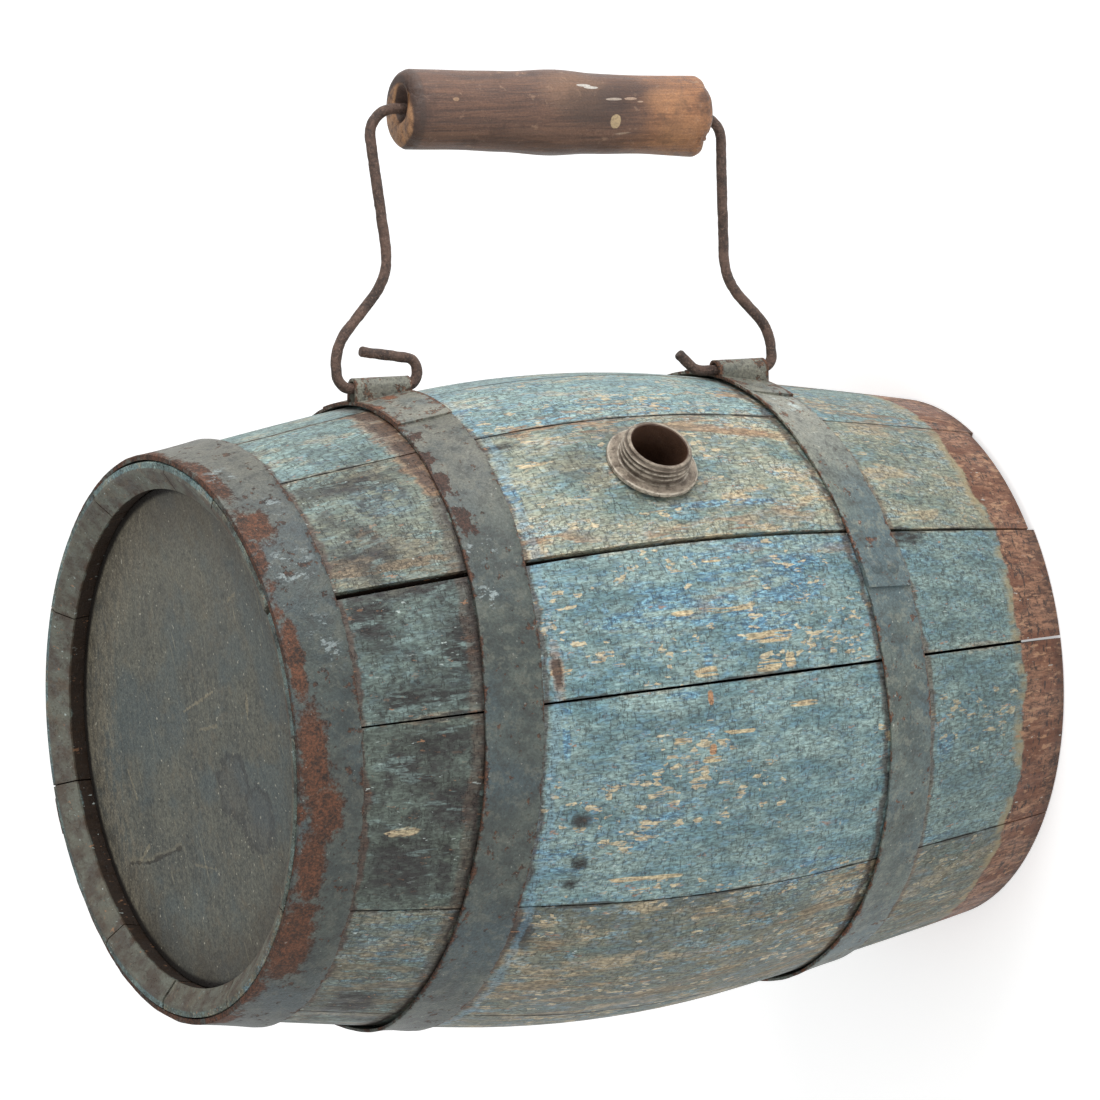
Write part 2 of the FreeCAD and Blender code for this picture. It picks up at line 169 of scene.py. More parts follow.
class Look:
    """A material that is built by short calls, coat over coat."""

    def __init__(self, name):
        self.mat = bpy.data.materials.new(name)
        self.mat.use_nodes = True
        self.tree = self.mat.node_tree
        self.tree.nodes.clear()
        self.here = Value(self, self.node("TexCoord").outputs["Object"])
        self.colour = None

    def node(self, kind, inlets=(), op=None):
        """New node, with its operation and what goes into its inlets."""
        node = self.tree.nodes.new("ShaderNode" + kind)
        if op:
            node.operation = op
        for inlet, value in dict(inlets).items():
            if isinstance(value, Value):
                self.tree.links.new(value.socket, node.inputs[inlet])
            else:
                node.inputs[inlet].default_value = value
        return node

    def math(self, op, a, b=0.0):
        if op == "MULTIPLY" and 0.0 in (a, b):
            return 0.0
        return Value(self, self.node("Math", {0: a, 1: b}, op).outputs[0])

    def vector(self, op, a, b=(0, 0, 0)):
        node = self.node("VectorMath", {0: a, "Scale" if op == "SCALE" else 1: b}, op)
        return Value(self, node.outputs["Value" if op in ("LENGTH", "DOT_PRODUCT") else "Vector"])

    def dot(self, a, b):
        return self.vector("DOT_PRODUCT", a, b)

    def length(self, a):
        return self.vector("LENGTH", a)

    def away(self, place):
        """Way from a fixed place to the point that is shaded."""
        return self.vector("SUBTRACT", self.here, place)

    def towards(self, degrees, unit=1):
        """How far the point lies from the axis of the keg in one direction."""
        return self.dot(self.away(AXIS), polar(1 / unit, degrees))

    def radius(self, centre=AXIS, keep=(1, 1, 0)):
        """Distance from an upright line, or from one along another axis."""
        return self.length(self.vector("MULTIPLY", self.away(centre), keep))

    def stretched(self, scale, turn=0.0, shift=(0, 0, 0)):
        if turn:
            scale = tuple(1 / share for share in scale)
        node = self.node("Mapping", {"Vector": self.here, "Location": shift, "Scale": scale,
                                     "Rotation": (0, 0, math.radians(turn))})
        node.vector_type = "TEXTURE" if turn else "POINT"
        return Value(self, node.outputs[0])

    def noise(self, size, detail=3, rough=0.55, where=None, warp=0.0):
        """Noise whose features are about size metres across."""
        node = self.node("TexNoise", {"Vector": where or self.here, "Scale": 1 / size,
                                      "Detail": detail, "Roughness": rough, "Distortion": warp})
        return Value(self, node.outputs["Fac"])

    def net(self, size, where, jumble):
        """Distance from a net of cracks, and one random value per cell."""
        shake = self.node("TexNoise", {"Vector": where, "Scale": 1 / size})
        moved = self.node("VectorMath", {0: Value(self, shake.outputs["Color"]),
                                         1: (jumble,) * 3, 2: where}, "MULTIPLY_ADD")
        found = []
        for feature, outlet in (("DISTANCE_TO_EDGE", "Distance"), ("F1", "Color")):
            node = self.node("TexVoronoi", {"Vector": Value(self, moved.outputs[0]),
                                            "Scale": 1 / size})
            node.feature = feature
            found.append(Value(self, node.outputs[outlet]))
        return found[0], self.dot(found[1], (1, 0, 0))

    def marks(self, places, wild, ragged, outer=1.05, inner=0.8):
        """Patches on the shell, each given as direction, height, half width and
        half length in millimetres; wild is the noise that makes them ragged."""
        shake = (wild - 0.5) * (2 * ragged)
        masks = []
        for degrees, height, wide, tall in places:
            at = self.away(spot(degrees, height))
            across = self.dot(at, polar(1 / wide / MM, degrees + 90))
            along = self.dot(at, (0, 0, 1 / tall / MM))
            near = (abs(across) ** 3 + abs(along) ** 3) ** (1 / 3) + shake
            masks.append(self.step(near, outer, inner))
        return self.any(*masks)

    def streak(self, a, b, wide, wild, ragged):
        """Straight scratch from a to b, reaching wide metres to each side."""
        way = b - a
        at = self.away(a)
        share = self.dot(at, way / way.length_squared)
        share = self.math("MINIMUM", self.math("MAXIMUM", share, 0.001), 1)
        gap = self.length(self.vector("SUBTRACT", at, self.vector("SCALE", way, share)))
        return self.step(gap + (wild - 0.5) * ragged, 1.3 * wide, 0.6 * wide)

    def step(self, value, low, high, bottom=0.0, top=1):
        """Smooth rise from bottom to top as value goes from low to high."""
        if low > high:
            low, high, bottom, top = high, low, top, bottom
        node = self.node("MapRange", {"Value": value, "From Min": low, "From Max": high,
                                      "To Min": bottom, "To Max": top})
        node.interpolation_type = "SMOOTHSTEP"
        return Value(self, node.outputs["Result"])

    def mix(self, mask, a, b, mode="MIX"):
        if mask == 0.0:
            return a
        node = self.node("Mix", {"Factor": mask, 6: a, 7: b})
        node.data_type = "RGBA"
        node.blend_type = mode
        return Value(self, node.outputs[2])

    def coat(self, mask, tint):
        """Covers what is there with a tint, as far as the mask says."""
        self.colour = self.mix(mask, self.colour, tint)

    def tinge(self, value, low, high, most, tint):
        """Coat that covers more as a value goes from low to high."""
        self.coat(self.step(value, low, high, 0.0, most), tint)

    def shade(self, light):
        """Makes what is there lighter or darker."""
        self.colour = self.mix(1, self.colour, light, "MULTIPLY")

    def any(self, *masks):
        """Highest of several masks; those that are plain 0 are left out."""
        total = 0.0
        for mask in masks:
            if mask != 0.0:
                total = self.math("MAXIMUM", total, mask) if total != 0.0 else mask
        return total

    def above(self, hoop):
        """Height over the lower edge of a hoop, in metres, along its slant."""
        slant = (-hoop[2] / R_MID, -hoop[3] / R_MID, 1)
        return self.dot(self.here, slant) - (hoop[0] + Vector(slant).dot(AXIS))

    def done(self, rough, height, relief=0.6 * MM, metal=0.0):
        bump = self.node("Bump", {"Strength": 1, "Distance": relief, "Height": height})
        skin = self.node("BsdfPrincipled", {
            "Base Color": self.colour, "Roughness": rough, "Metallic": metal,
            "Normal": Value(self, bump.outputs[0])})
        self.node("OutputMaterial", {"Surface": Value(self, skin.outputs[0])})
        return self.mat


# Shape of the shell

def bilge_arcs():
    """Radius and centre, as (r, z), of the arcs that the staves follow."""
    half = LENGTH / 2 - SHOULDER
    rise = R_MID - R_SHOULDER
    middle = (half ** 2 + rise ** 2) / (2 * rise)
    centre = R_MID - middle
    out_r = (R_SHOULDER - centre) / middle
    out_z = -half / middle
    to_end = R_END - R_SHOULDER
    end = -(to_end ** 2 + SHOULDER ** 2) / (2 * (to_end * out_r - SHOULDER * out_z))
    return (middle, centre, LENGTH / 2), (end, R_SHOULDER - end * out_r, SHOULDER - end * out_z)


BILGE_ARCS = bilge_arcs()


def outer_r(z):
    """Outside radius of the wooden shell at height z."""
    low = min(z, LENGTH - z)
    radius, centre_r, centre_z = BILGE_ARCS[0] if low > SHOULDER else BILGE_ARCS[1]
    return centre_r + math.copysign(math.sqrt(radius ** 2 - (low - centre_z) ** 2), radius)


def hoop_r(hoop, z):
    """Inside radius of a hoop at height z: a plain cone, just clear of the bilge."""
    slack = math.hypot(hoop[2], hoop[3]) + MM
    low = max(hoop[0] - slack, 0.0)
    high = min(hoop[1] + slack, LENGTH)
    foot = outer_r(low)
    top = outer_r(high)
    bow = max(outer_r(low + (high - low) * i / 8) - foot - (top - foot) * i / 8
              for i in range(9))
    return foot + (top - foot) * (z - low) / (high - low) + bow + HOOP_FIT


def wobble(x, y, z, seed=0.0):
    """Smooth random value from about -1 to 1."""
    return noise.noise(Vector((x, y, z)) + Vector((seed, 3.1 * seed, 7.7 * seed)))


def add_mesh(name, rows, loop=True, ends=False, sharp=38):
    """Skin over rows of points; loop joins the last row to the first."""
    across = len(rows[0])
    points = [p for row in rows for p in row]
    faces = []
    count = len(rows)
    for i in range(count if loop else count - 1):
        a = i * across
        b = ((i + 1) % count) * across
        for j in range(across):
            k = (j + 1) % across
            faces.append((a + j, b + j, b + k, a + k))
    if ends:
        faces.append(tuple(range(across))[::-1])
        faces.append(tuple((count - 1) * across + j for j in range(across)))
    mesh = bpy.data.meshes.new(name)
    mesh.from_pydata(points, [], faces)
    bm = bmesh.new()
    bm.from_mesh(mesh)
    bmesh.ops.recalc_face_normals(bm, faces=bm.faces)
    bm.to_mesh(mesh)
    bm.free()
    mesh.polygons.foreach_set("use_smooth", [True] * len(mesh.polygons))
    mesh.set_sharp_from_angle(angle=math.radians(sharp))
    obj = bpy.data.objects.new(name, mesh)
    bpy.context.scene.collection.objects.link(obj)
    return obj


def stand_for(obj, node, body, look):
    obj.data.materials.append(look)
    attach(obj, body)
    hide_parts(node)
    return obj


# Hoops, bent by hand: they stand off a little along one edge and are dented

HOOP_STEPS = 600
LAP_STEPS = 16
HOOP_SHARES = (0.0, 0.02, 0.14, 0.32, 0.5, 0.68, 0.86, 0.98, 1)
HOOP_WAVE = 0.35 * MM     # slow waves of the edges
HOOP_RIPPLE = 0.12 * MM   # short waves of the edges
HOOP_ROUND_OUT = 0.22 * MM
HOOP_ROUND_IN = 0.12 * MM
HOOP_DENT = 0.16 * MM


def hoop_section(hoop, thick, degrees, lift, lower=0.0):
    """Closed outline of a hoop at one direction, from its outside to its inside."""
    low, high, rise_x, rise_y = hoop
    a = math.radians(degrees)
    c, d = math.cos(a), math.sin(a)
    askew = rise_x * c + rise_y * d
    seed = low * 100

    def edge_wave(turn, ripple):
        return (HOOP_WAVE * wobble(9 * c, 9 * d, turn, seed)
                + HOOP_RIPPLE * wobble(60 * c, 60 * d, ripple, seed))

    low_edge, high_edge = edge_wave(0.3, 0), edge_wave(1.7, 2)
    off_high = max(0.0, lift * (0.55 + 0.9 * wobble(2.2 * c, 2.2 * d, 0.0, seed)))
    off_low = max(0.0, 0.35 * lift * (0.4 + 1.2 * wobble(2.6 * c, 2.6 * d, 5, seed)))
    outline = []
    for outside in (True, False):
        for share in HOOP_SHARES if outside else HOOP_SHARES[::-1]:
            z = low + (high - low) * share + low_edge * (1 - share) + high_edge * share
            out = lower + off_low * (1 - share) ** 3 + off_high * share ** 3
            edge = share in (0.0, 1)
            if outside:
                out += thick - (HOOP_ROUND_OUT if edge else 0.0)
                out += HOOP_DENT * wobble(14 * c, 14 * d, 3 * share, seed)
            elif edge:
                out += HOOP_ROUND_IN
            r = hoop_r(hoop, z + askew) + out
            z = min(z + askew * r / R_MID, LENGTH - 0.2 * MM)
            outline.append(AXIS + Vector((r * c, r * d, z)))
    return outline


def hoop_piece(name, hoop, thick, lap_at, lift):
    rows = [hoop_section(hoop, thick, 360 * i / HOOP_STEPS, lift) for i in range(HOOP_STEPS)]
    lap = [hoop_section(hoop, thick, lap_at + LAP_DEG * (i / LAP_STEPS - 0.5), lift, 0.95 * thick)
           for i in range(LAP_STEPS + 1)]
    ring = add_mesh(name + "_ring", rows)
    over = add_mesh(name + "_lap", lap, loop=False, ends=True)
    return join(name + "_bent", [ring, over])


def join(name, objs):
    """One object with the meshes of several."""
    for o in bpy.context.view_layer.objects:
        o.select_set(o in objs)
    bpy.context.view_layer.objects.active = objs[0]
    bpy.ops.object.join()
    objs[0].name = name
    return objs[0]


# Spout with its running thread and knurled collar

SPOUT_AROUND = 288
SPOUT_ROWS = 64           # rows of points along the thread
KNURLS = 96
KNURL_DEEP = 0.16 * MM
SPOUT_SEAT = AXIS + Vector((0, -R_MID, LENGTH / 2 + 0.8 * MM))


def spout_rows():
    """Rows of (radius, height) around the axis of the spout, from its seat."""
    neck = SPOUT_COLLAR_T + SPOUT_TURNS * SPOUT_PITCH + 1.6 * MM
    first = SPOUT_COLLAR_T + 0.5 * MM
    top = neck - 0.7 * MM
    run_out = 0.9 * MM
    rows = []

    def plain(*rings):
        rows.extend([ring] * SPOUT_AROUND for ring in rings)

    plain((SPOUT_BORE_R, -11.5 * MM), (SPOUT_SHANK_R, -11.5 * MM), (SPOUT_SHANK_R, 0.0),
          (SPOUT_COLLAR_R - 0.5 * MM, 0.0))
    for share in (0.0, 0.08, 0.92, 1):
        z = 0.45 * MM + (SPOUT_COLLAR_T - 1 * MM) * share
        deep = 0.0 if share in (0.0, 1) else KNURL_DEEP
        rows.append([(SPOUT_COLLAR_R - 0.12 * MM
                      + deep * math.cos(KNURLS * 2 * math.pi * i / SPOUT_AROUND), z)
                     for i in range(SPOUT_AROUND)])
    plain((SPOUT_COLLAR_R - 0.9 * MM, SPOUT_COLLAR_T),
          (SPOUT_RIM_R + 0.5 * MM, SPOUT_COLLAR_T + 0.05 * MM),
          (SPOUT_RIM_R, SPOUT_COLLAR_T + 0.35 * MM))
    for j in range(1, SPOUT_ROWS):
        z = first + (top - first) * j / SPOUT_ROWS
        fade = max(0.0, min(1, (z - first) / run_out, (top - z) / run_out))
        row = []
        for i in range(SPOUT_AROUND):
            phase = ((z - first) / SPOUT_PITCH - i / SPOUT_AROUND) % 1
            ridge = min(1, 1.5 * max(0.0, 1 - abs(phase - 0.5) / 0.4))
            row.append((SPOUT_RIM_R + SPOUT_THREAD * ridge * fade, z))
        rows.append(row)
    plain((SPOUT_RIM_R, top), (SPOUT_RIM_R, neck - 0.25 * MM), (SPOUT_RIM_R - 0.25 * MM, neck),
          (SPOUT_BORE_R + 0.3 * MM, neck), (SPOUT_BORE_R, neck - 0.3 * MM))
    return rows


def spout_piece():
    rows = []
    for row in spout_rows():
        points = []
        for i, (r, z) in enumerate(row):
            a = 2 * math.pi * i / len(row)
            x, y = math.cos(a), math.sin(a)
            r += 0.12 * MM * wobble(3 * x, 3 * y, z * 300, 4)
            points.append(SPOUT_SEAT + Vector((r * x, -z, r * y)))
        rows.append(points)
    return add_mesh("spout_threaded", rows, sharp=30)


# Bail: the bent wire and the turned grip

raised = polar(1, BAIL_AT)
BAIL_UP = (raised - EYE_AXIS * raised.dot(EYE_AXIS)).normalized()
WIRE_AROUND = 14
WIRE_STEP = 0.6 * MM      # between the rows of points along the wire
WIRE_CRUST = 0.22 * MM    # how much rust roughens the wire

# Outline of each end of the grip and swell of its length, as radius and place in mm
GRIP_END = ((2.7, 40), (2.75, 6.5), (3.3, 4.5), (4.3, 2), (5.1, 0.4), (6, 0.0), (8, 0.0),
            (10, 0.0), (11.4, 0.1), (12.4, 0.6), (13.1, 1.3), (13.6, 2.2), (13.9, 2.8))
GRIP_SWELL = ((14, 2.2), (13.6, 0.22 * GRIP_LONG), (13.9, 0.36 * GRIP_LONG),
              (14.7, 0.5 * GRIP_LONG), (13.85, 0.66 * GRIP_LONG), (13.6, 0.8 * GRIP_LONG),
              (13.7, GRIP_LONG - 2.2))
GRIP_AROUND = 96
GRIP_ROWS = 110
GRIP_THINNER = 0.3        # how much thinner the upper end is
# Direction in which the mouth of the bore is broken out at the upper end, and how deep
GRIP_CRATER = math.radians(-40)
CRATER_DEEP = 6.6
# Chips: end of the grip, direction around it, half width in degrees, depth in mm
GRIP_CHIPS = (
    (1, 290, 40, 1.2),
    (0, 225, 34, 2.4),
    (1, 200, 25, 1.2),
    (0, 320, 22, 1),
)
CHIP_LONG = 9


def wire_piece():
    """Round bar along the bail's path, with a skin roughened by rust."""
    path = bail_path()
    rows = []
    side = None
    for i, p in enumerate(path):
        way = (path[min(i + 1, len(path) - 1)] - path[max(i - 1, 0)]).normalized()
        if side is None:
            side = way.orthogonal().normalized()
        side = (side - way * side.dot(way)).normalized()
        other = way.cross(side)
        size = WIRE_R * (0.8 if i in (0, len(path) - 1) else 1)
        row = []
        for j in range(WIRE_AROUND):
            t = 2 * math.pi * j / WIRE_AROUND
            out = side * math.cos(t) + other * math.sin(t)
            q = p + out * WIRE_R
            n = wobble(*(q * 260), 6) + 0.6 * wobble(*(q * 700), 6)
            row.append(p + out * (size + WIRE_CRUST * min(n, 0.25)))
        rows.append(row)
    return add_mesh("bail_wire_rusted", rows, loop=False, ends=True, sharp=50)


def on_bail(height, along):
    return LOWER_EYE + BAIL_UP * height + EYE_AXIS * along


def bail_path():
    """Points along the middle of the wire, about half a millimetre apart."""
    corners = [on_bail(h * MM, s * MM) for h, s, r in BAIL_BENDS]
    path = []

    def run(a, b):
        count = max(1, int((b - a).length / WIRE_STEP))
        path.extend(a + (b - a) * (i / count) for i in range(count))

    last = corners[0]
    for i in range(1, len(corners) - 1):
        corner = corners[i]
        radius = BAIL_BENDS[i][2] * MM
        back = (corners[i - 1] - corner).normalized()
        on = (corners[i + 1] - corner).normalized()
        half = back.angle(on) / 2
        reach = radius / math.tan(half)
        begin = corner + back * reach
        run(last, begin)
        middle = corner + (back + on).normalized() * (radius / math.sin(half))
        turn = math.pi - 2 * half
        pole = back.cross(on).normalized()
        count = max(4, int(radius * turn / WIRE_STEP))
        path.extend(middle + Matrix.Rotation(-turn * k / count, 3, pole) @ (begin - middle)
                    for k in range(count))
        last = corner + on * reach
    run(last, corners[-1])
    path.append(corners[-1])
    return path


def grip_frame():
    """Lower end of the grip on its wire, the way along it and two ways across it."""
    low, high = (on_bail(h * MM, s * MM) for h, s, r in BAIL_BENDS[5:7])
    way = (high - low).normalized()
    up = (BAIL_UP - way * BAIL_UP.dot(way)).normalized()
    return low + way * ((GRIP_ENDS[0] - BAIL_BENDS[5][1]) * MM), way, up, way.cross(up)


def grip_profile():
    """Radius and place of each row of the grip, from the bore round to the bore."""
    body = []
    for i in range(1, GRIP_ROWS):
        x = 2.3 + (GRIP_LONG - 4.6) * i / GRIP_ROWS
        for (ra, xa), (rb, xb) in zip(GRIP_SWELL, GRIP_SWELL[1:]):
            if xa <= x <= xb:
                t = (x - xa) / (xb - xa)
                body.append((ra + (rb - ra) * (3 * t * t - 2 * t ** 3), x))
    far_end = [(r - GRIP_THINNER if r > 12 else r, GRIP_LONG - x) for r, x in GRIP_END[::-1]]
    return list(GRIP_END) + body + far_end


def grip_piece():
    """Turned handle, worn, chipped at both ends, around the straight wire."""
    start, way, up, side = grip_frame()
    rows = []
    for r, x in grip_profile():
        row = []
        mouth = GRIP_LONG - x
        for j in range(GRIP_AROUND):
            t = 2 * math.pi * j / GRIP_AROUND
            c, d = math.cos(t), math.sin(t)
            lump = (0.22 * wobble(1.4 * c, 1.4 * d, x * 0.06, 2)
                    + 0.1 * wobble(5 * c, 5 * d, x * 0.05, 3))
            rr = r + (lump if r > 6 else 0.0)
            xx = x
            broken = (0.5 + 0.5 * math.cos(t - GRIP_CRATER)) ** 2
            if r <= 6 and mouth < CRATER_DEEP:
                rr += 4 * broken * (1 - mouth / CRATER_DEEP)
                rr += 0.4 * wobble(2 * c, 2 * d, x, 8)
            elif 6 < r <= 10 and mouth < 0.5:
                rr = 6 + (rr - 6) * 0.5 + 2 * broken + (r - 6) * 0.3
            for end, chip_at, wide, deep in GRIP_CHIPS:
                gap = abs((math.degrees(t) - chip_at + 180) % 360 - 180)
                near = mouth if end else x
                if near < CHIP_LONG and gap < wide and r > 6:
                    bite = deep * (1 - gap / wide) * max(0.0, 1 - near / CHIP_LONG) * (r / 14)
                    bite *= 0.7 + 0.5 * wobble(9 * c, 9 * d, x, 5)
                    rr -= bite
                    xx += -0.8 * bite if end else 0.8 * bite
            row.append(start + way * (xx * MM) + (up * c + side * d) * (rr * MM))
        rows.append(row)
    return add_mesh("grip_turned", rows, loop=False, sharp=40)


def grip_place(share, degrees, out=0.014):
    """Place on the skin of the grip: share of its length, direction around it."""
    start, way, up, side = grip_frame()
    a = math.radians(degrees)
    return start + way * (GRIP_LONG * share * MM) + (up * math.cos(a) + side * math.sin(a)) * out


# Painted wood of the staves

TEAL = (rgb(112, 140, 140), rgb(152, 175, 169))
SLATE = (rgb(94, 123, 126), rgb(138, 160, 156))
PALE = (rgb(126, 136, 122), rgb(168, 168, 147))
OLIVE = (rgb(88, 94, 84), rgb(124, 126, 110))
BLUE = rgb(70, 116, 150)
SKY = rgb(126, 176, 194)
CREAM = rgb(190, 175, 141)
TAN = rgb(162, 134, 104)
DARK = rgb(34, 31, 27)
SOOT = rgb(27, 26, 24)
GREY_GREEN = (rgb(59, 70, 63), rgb(102, 112, 100))
BARE_DARK = rgb(78, 52, 40)
BARE_LIGHT = rgb(150, 110, 86)
FRINGE = rgb(150, 136, 104)
STAIN = rgb(66, 44, 32)
BROWN_WOOD = (rgb(124, 92, 66), TAN)
OLIVE_WOOD = (rgb(100, 86, 64), rgb(148, 132, 104))

# Direction of the joints between the staves, at the bare and the hooped end
JOINT_R = (R_END + R_MID) / 2
JOINTS = (
    (-54, -54), (-18.5, -18.5), (16.5, 16.5), (56, 56), (95.5, 95.5), (123.5, 123.5),
    (154, 154), (190, 189.3), (229.8, 227), (254.1, 253.2), (283.6, 283.6),
)

# Per stave: paint, how much blue, cream and bare wood shows through it, and how
# dark it is between the two upper hoops
STAVES = {
    "stave_01": (TEAL, 0.15, 0.12, 0.12, 0.3),
    "stave_02": (TEAL, 0.2, 0.3, 0.15, 0.5),
    "stave_03": (SLATE, 0.2, 0.25, 0.2, 0.5),
    "stave_04": (TEAL, 0.25, 0.4, 0.2, 0.6),
    "stave_05": (SLATE, 0.2, 0.3, 0.25, 0.5),
    "stave_06": (OLIVE, 0.2, 0.35, 0.4, 0.45),
    "stave_07": (OLIVE, 0.15, 0.35, 0.66, 0.35),
    "stave_08": (SLATE, 0.38, 0.00, 0.05, 0.95),
    "stave_09": (SLATE, 0.45, 0.22, 0.05, 0.72),
    "stave_10": (PALE, 0.2, 0.25, 0.42, 0.68),
    "stave_11": (TEAL, 0.28, 0.22, 0.34, 0.3),
}

# Marks in the paint: direction, height, half width and half length in mm
CREAM_MARKS = {
    "stave_08": ((-140.3, 143.1, 0.9, 6), (-140.7, 166.1, 1.4, 2), (-144.6, 154.1, 1, 3.6),
                 (-136.8, 118.2, 0.8, 5), (-165.6, 176.2, 0.9, 12), (-153.6, 262.3, 1.8, 5)),
    "stave_09": ((-124.8, 128.6, 2, 9.5), (-119.4, 140.3, 0.9, 8.5), (-129.9, 154.2, 1.7, 4.6),
                 (-129.6, 129.9, 1.8, 4.2), (-129.2, 120.7, 2.2, 1.8), (-126.9, 206.7, 1.2, 3.2),
                 (-119.4, 159.7, 0.8, 3.4), (-110.3, 143.8, 1.1, 3.6)),
    "stave_10": ((-99, 90, 1, 7), (-86, 192, 1.4, 5)),
    "stave_11": ((-66, 221, 4, 9),),
}
ORANGE_MARKS = {
    "stave_08": ((-134.2, 153.7, 2.4, 1.2), (-143, 153.7, 2, 1.4)),
    "stave_10": ((-95, 258, 2.5, 4), (-101, 272, 3.5, 14), (-102.5, 255, 2, 22)),
}
BLUE_MARKS = {
    "stave_08": ((-133.4, 164.1, 1.6, 7), (-174.7, 64.3, 5, 8), (-148.5, 55, 4, 4),
                 (-132.5, 206, 4, 2), (-139, 207, 7, 1.6)),
    "stave_09": ((-117.9, 142, 2.4, 6), (-119.1, 179.6, 1.6, 9), (-120.5, 161, 2.2, 10),
                 (-127.2, 153, 4, 1.8), (-123, 128, 5, 13), (-112, 112, 4, 14)),
    "stave_10": ((-87.5, 248, 9, 11), (-92, 205, 9, 3), (-99.5, 128, 1.6, 26)),
    "stave_11": ((-66, 200, 2, 12),),
    "stave_01": ((-34, 150, 5, 16),),
}
SOOT_MARKS = {
    "stave_08": ((-137, 250, 5, 16), (-148.5, 246, 9, 9), (-144, 256, 5, 8),
                 (-160, 262, 12, 14), (-153.7, 201, 2.4, 3.4), (-161.5, 200, 2.4, 3),
                 (-166, 202, 2.4, 3.4)),
    "stave_09": ((-113, 268, 11, 8), (-120.7, 238, 14, 9), (-128, 252, 5, 20),
                 (-108, 250, 3, 22), (-107.6, 60, 3, 12)),
    "stave_10": ((-81.5, 255, 4, 18), (-99, 262, 4, 12), (-80, 200, 2, 9)),
    "stave_07": ((-176, 215, 8, 5), (160, 260, 12, 12)),
    "stave_04": ((74, 255, 14, 12),),
    "stave_02": ((0, 250, 14, 12),),
}
GRIME_MARKS = {
    "stave_10": ((-90, 150.4, 16.5, 16.5), (-89, 176, 9, 9)),
}
STAIN_MARKS = {
    "stave_11": ((-57, 226.5, 7, 4), (-66, 227.5, 9, 5.5), (-74, 228.5, 7, 4.5)),
    "stave_10": ((-78, 229, 7, 4), (-84, 229.5, 6, 2.5)),
    "stave_09": ((-127, 208, 6, 1.6),),
}


def joint_gap(m, index):
    """Distance from the nearer joint of a stave, in metres."""
    gaps = []
    for foot, top in (JOINTS[index], JOINTS[(index + 1) % len(JOINTS)]):
        low = polar(JOINT_R, foot)
        across = (polar(JOINT_R, top, LENGTH) - low).cross(polar(1, (foot + top) / 2))
        gaps.append(abs(m.dot(m.away(AXIS + low), across.normalized())))
    return m.math("MINIMUM", *gaps)


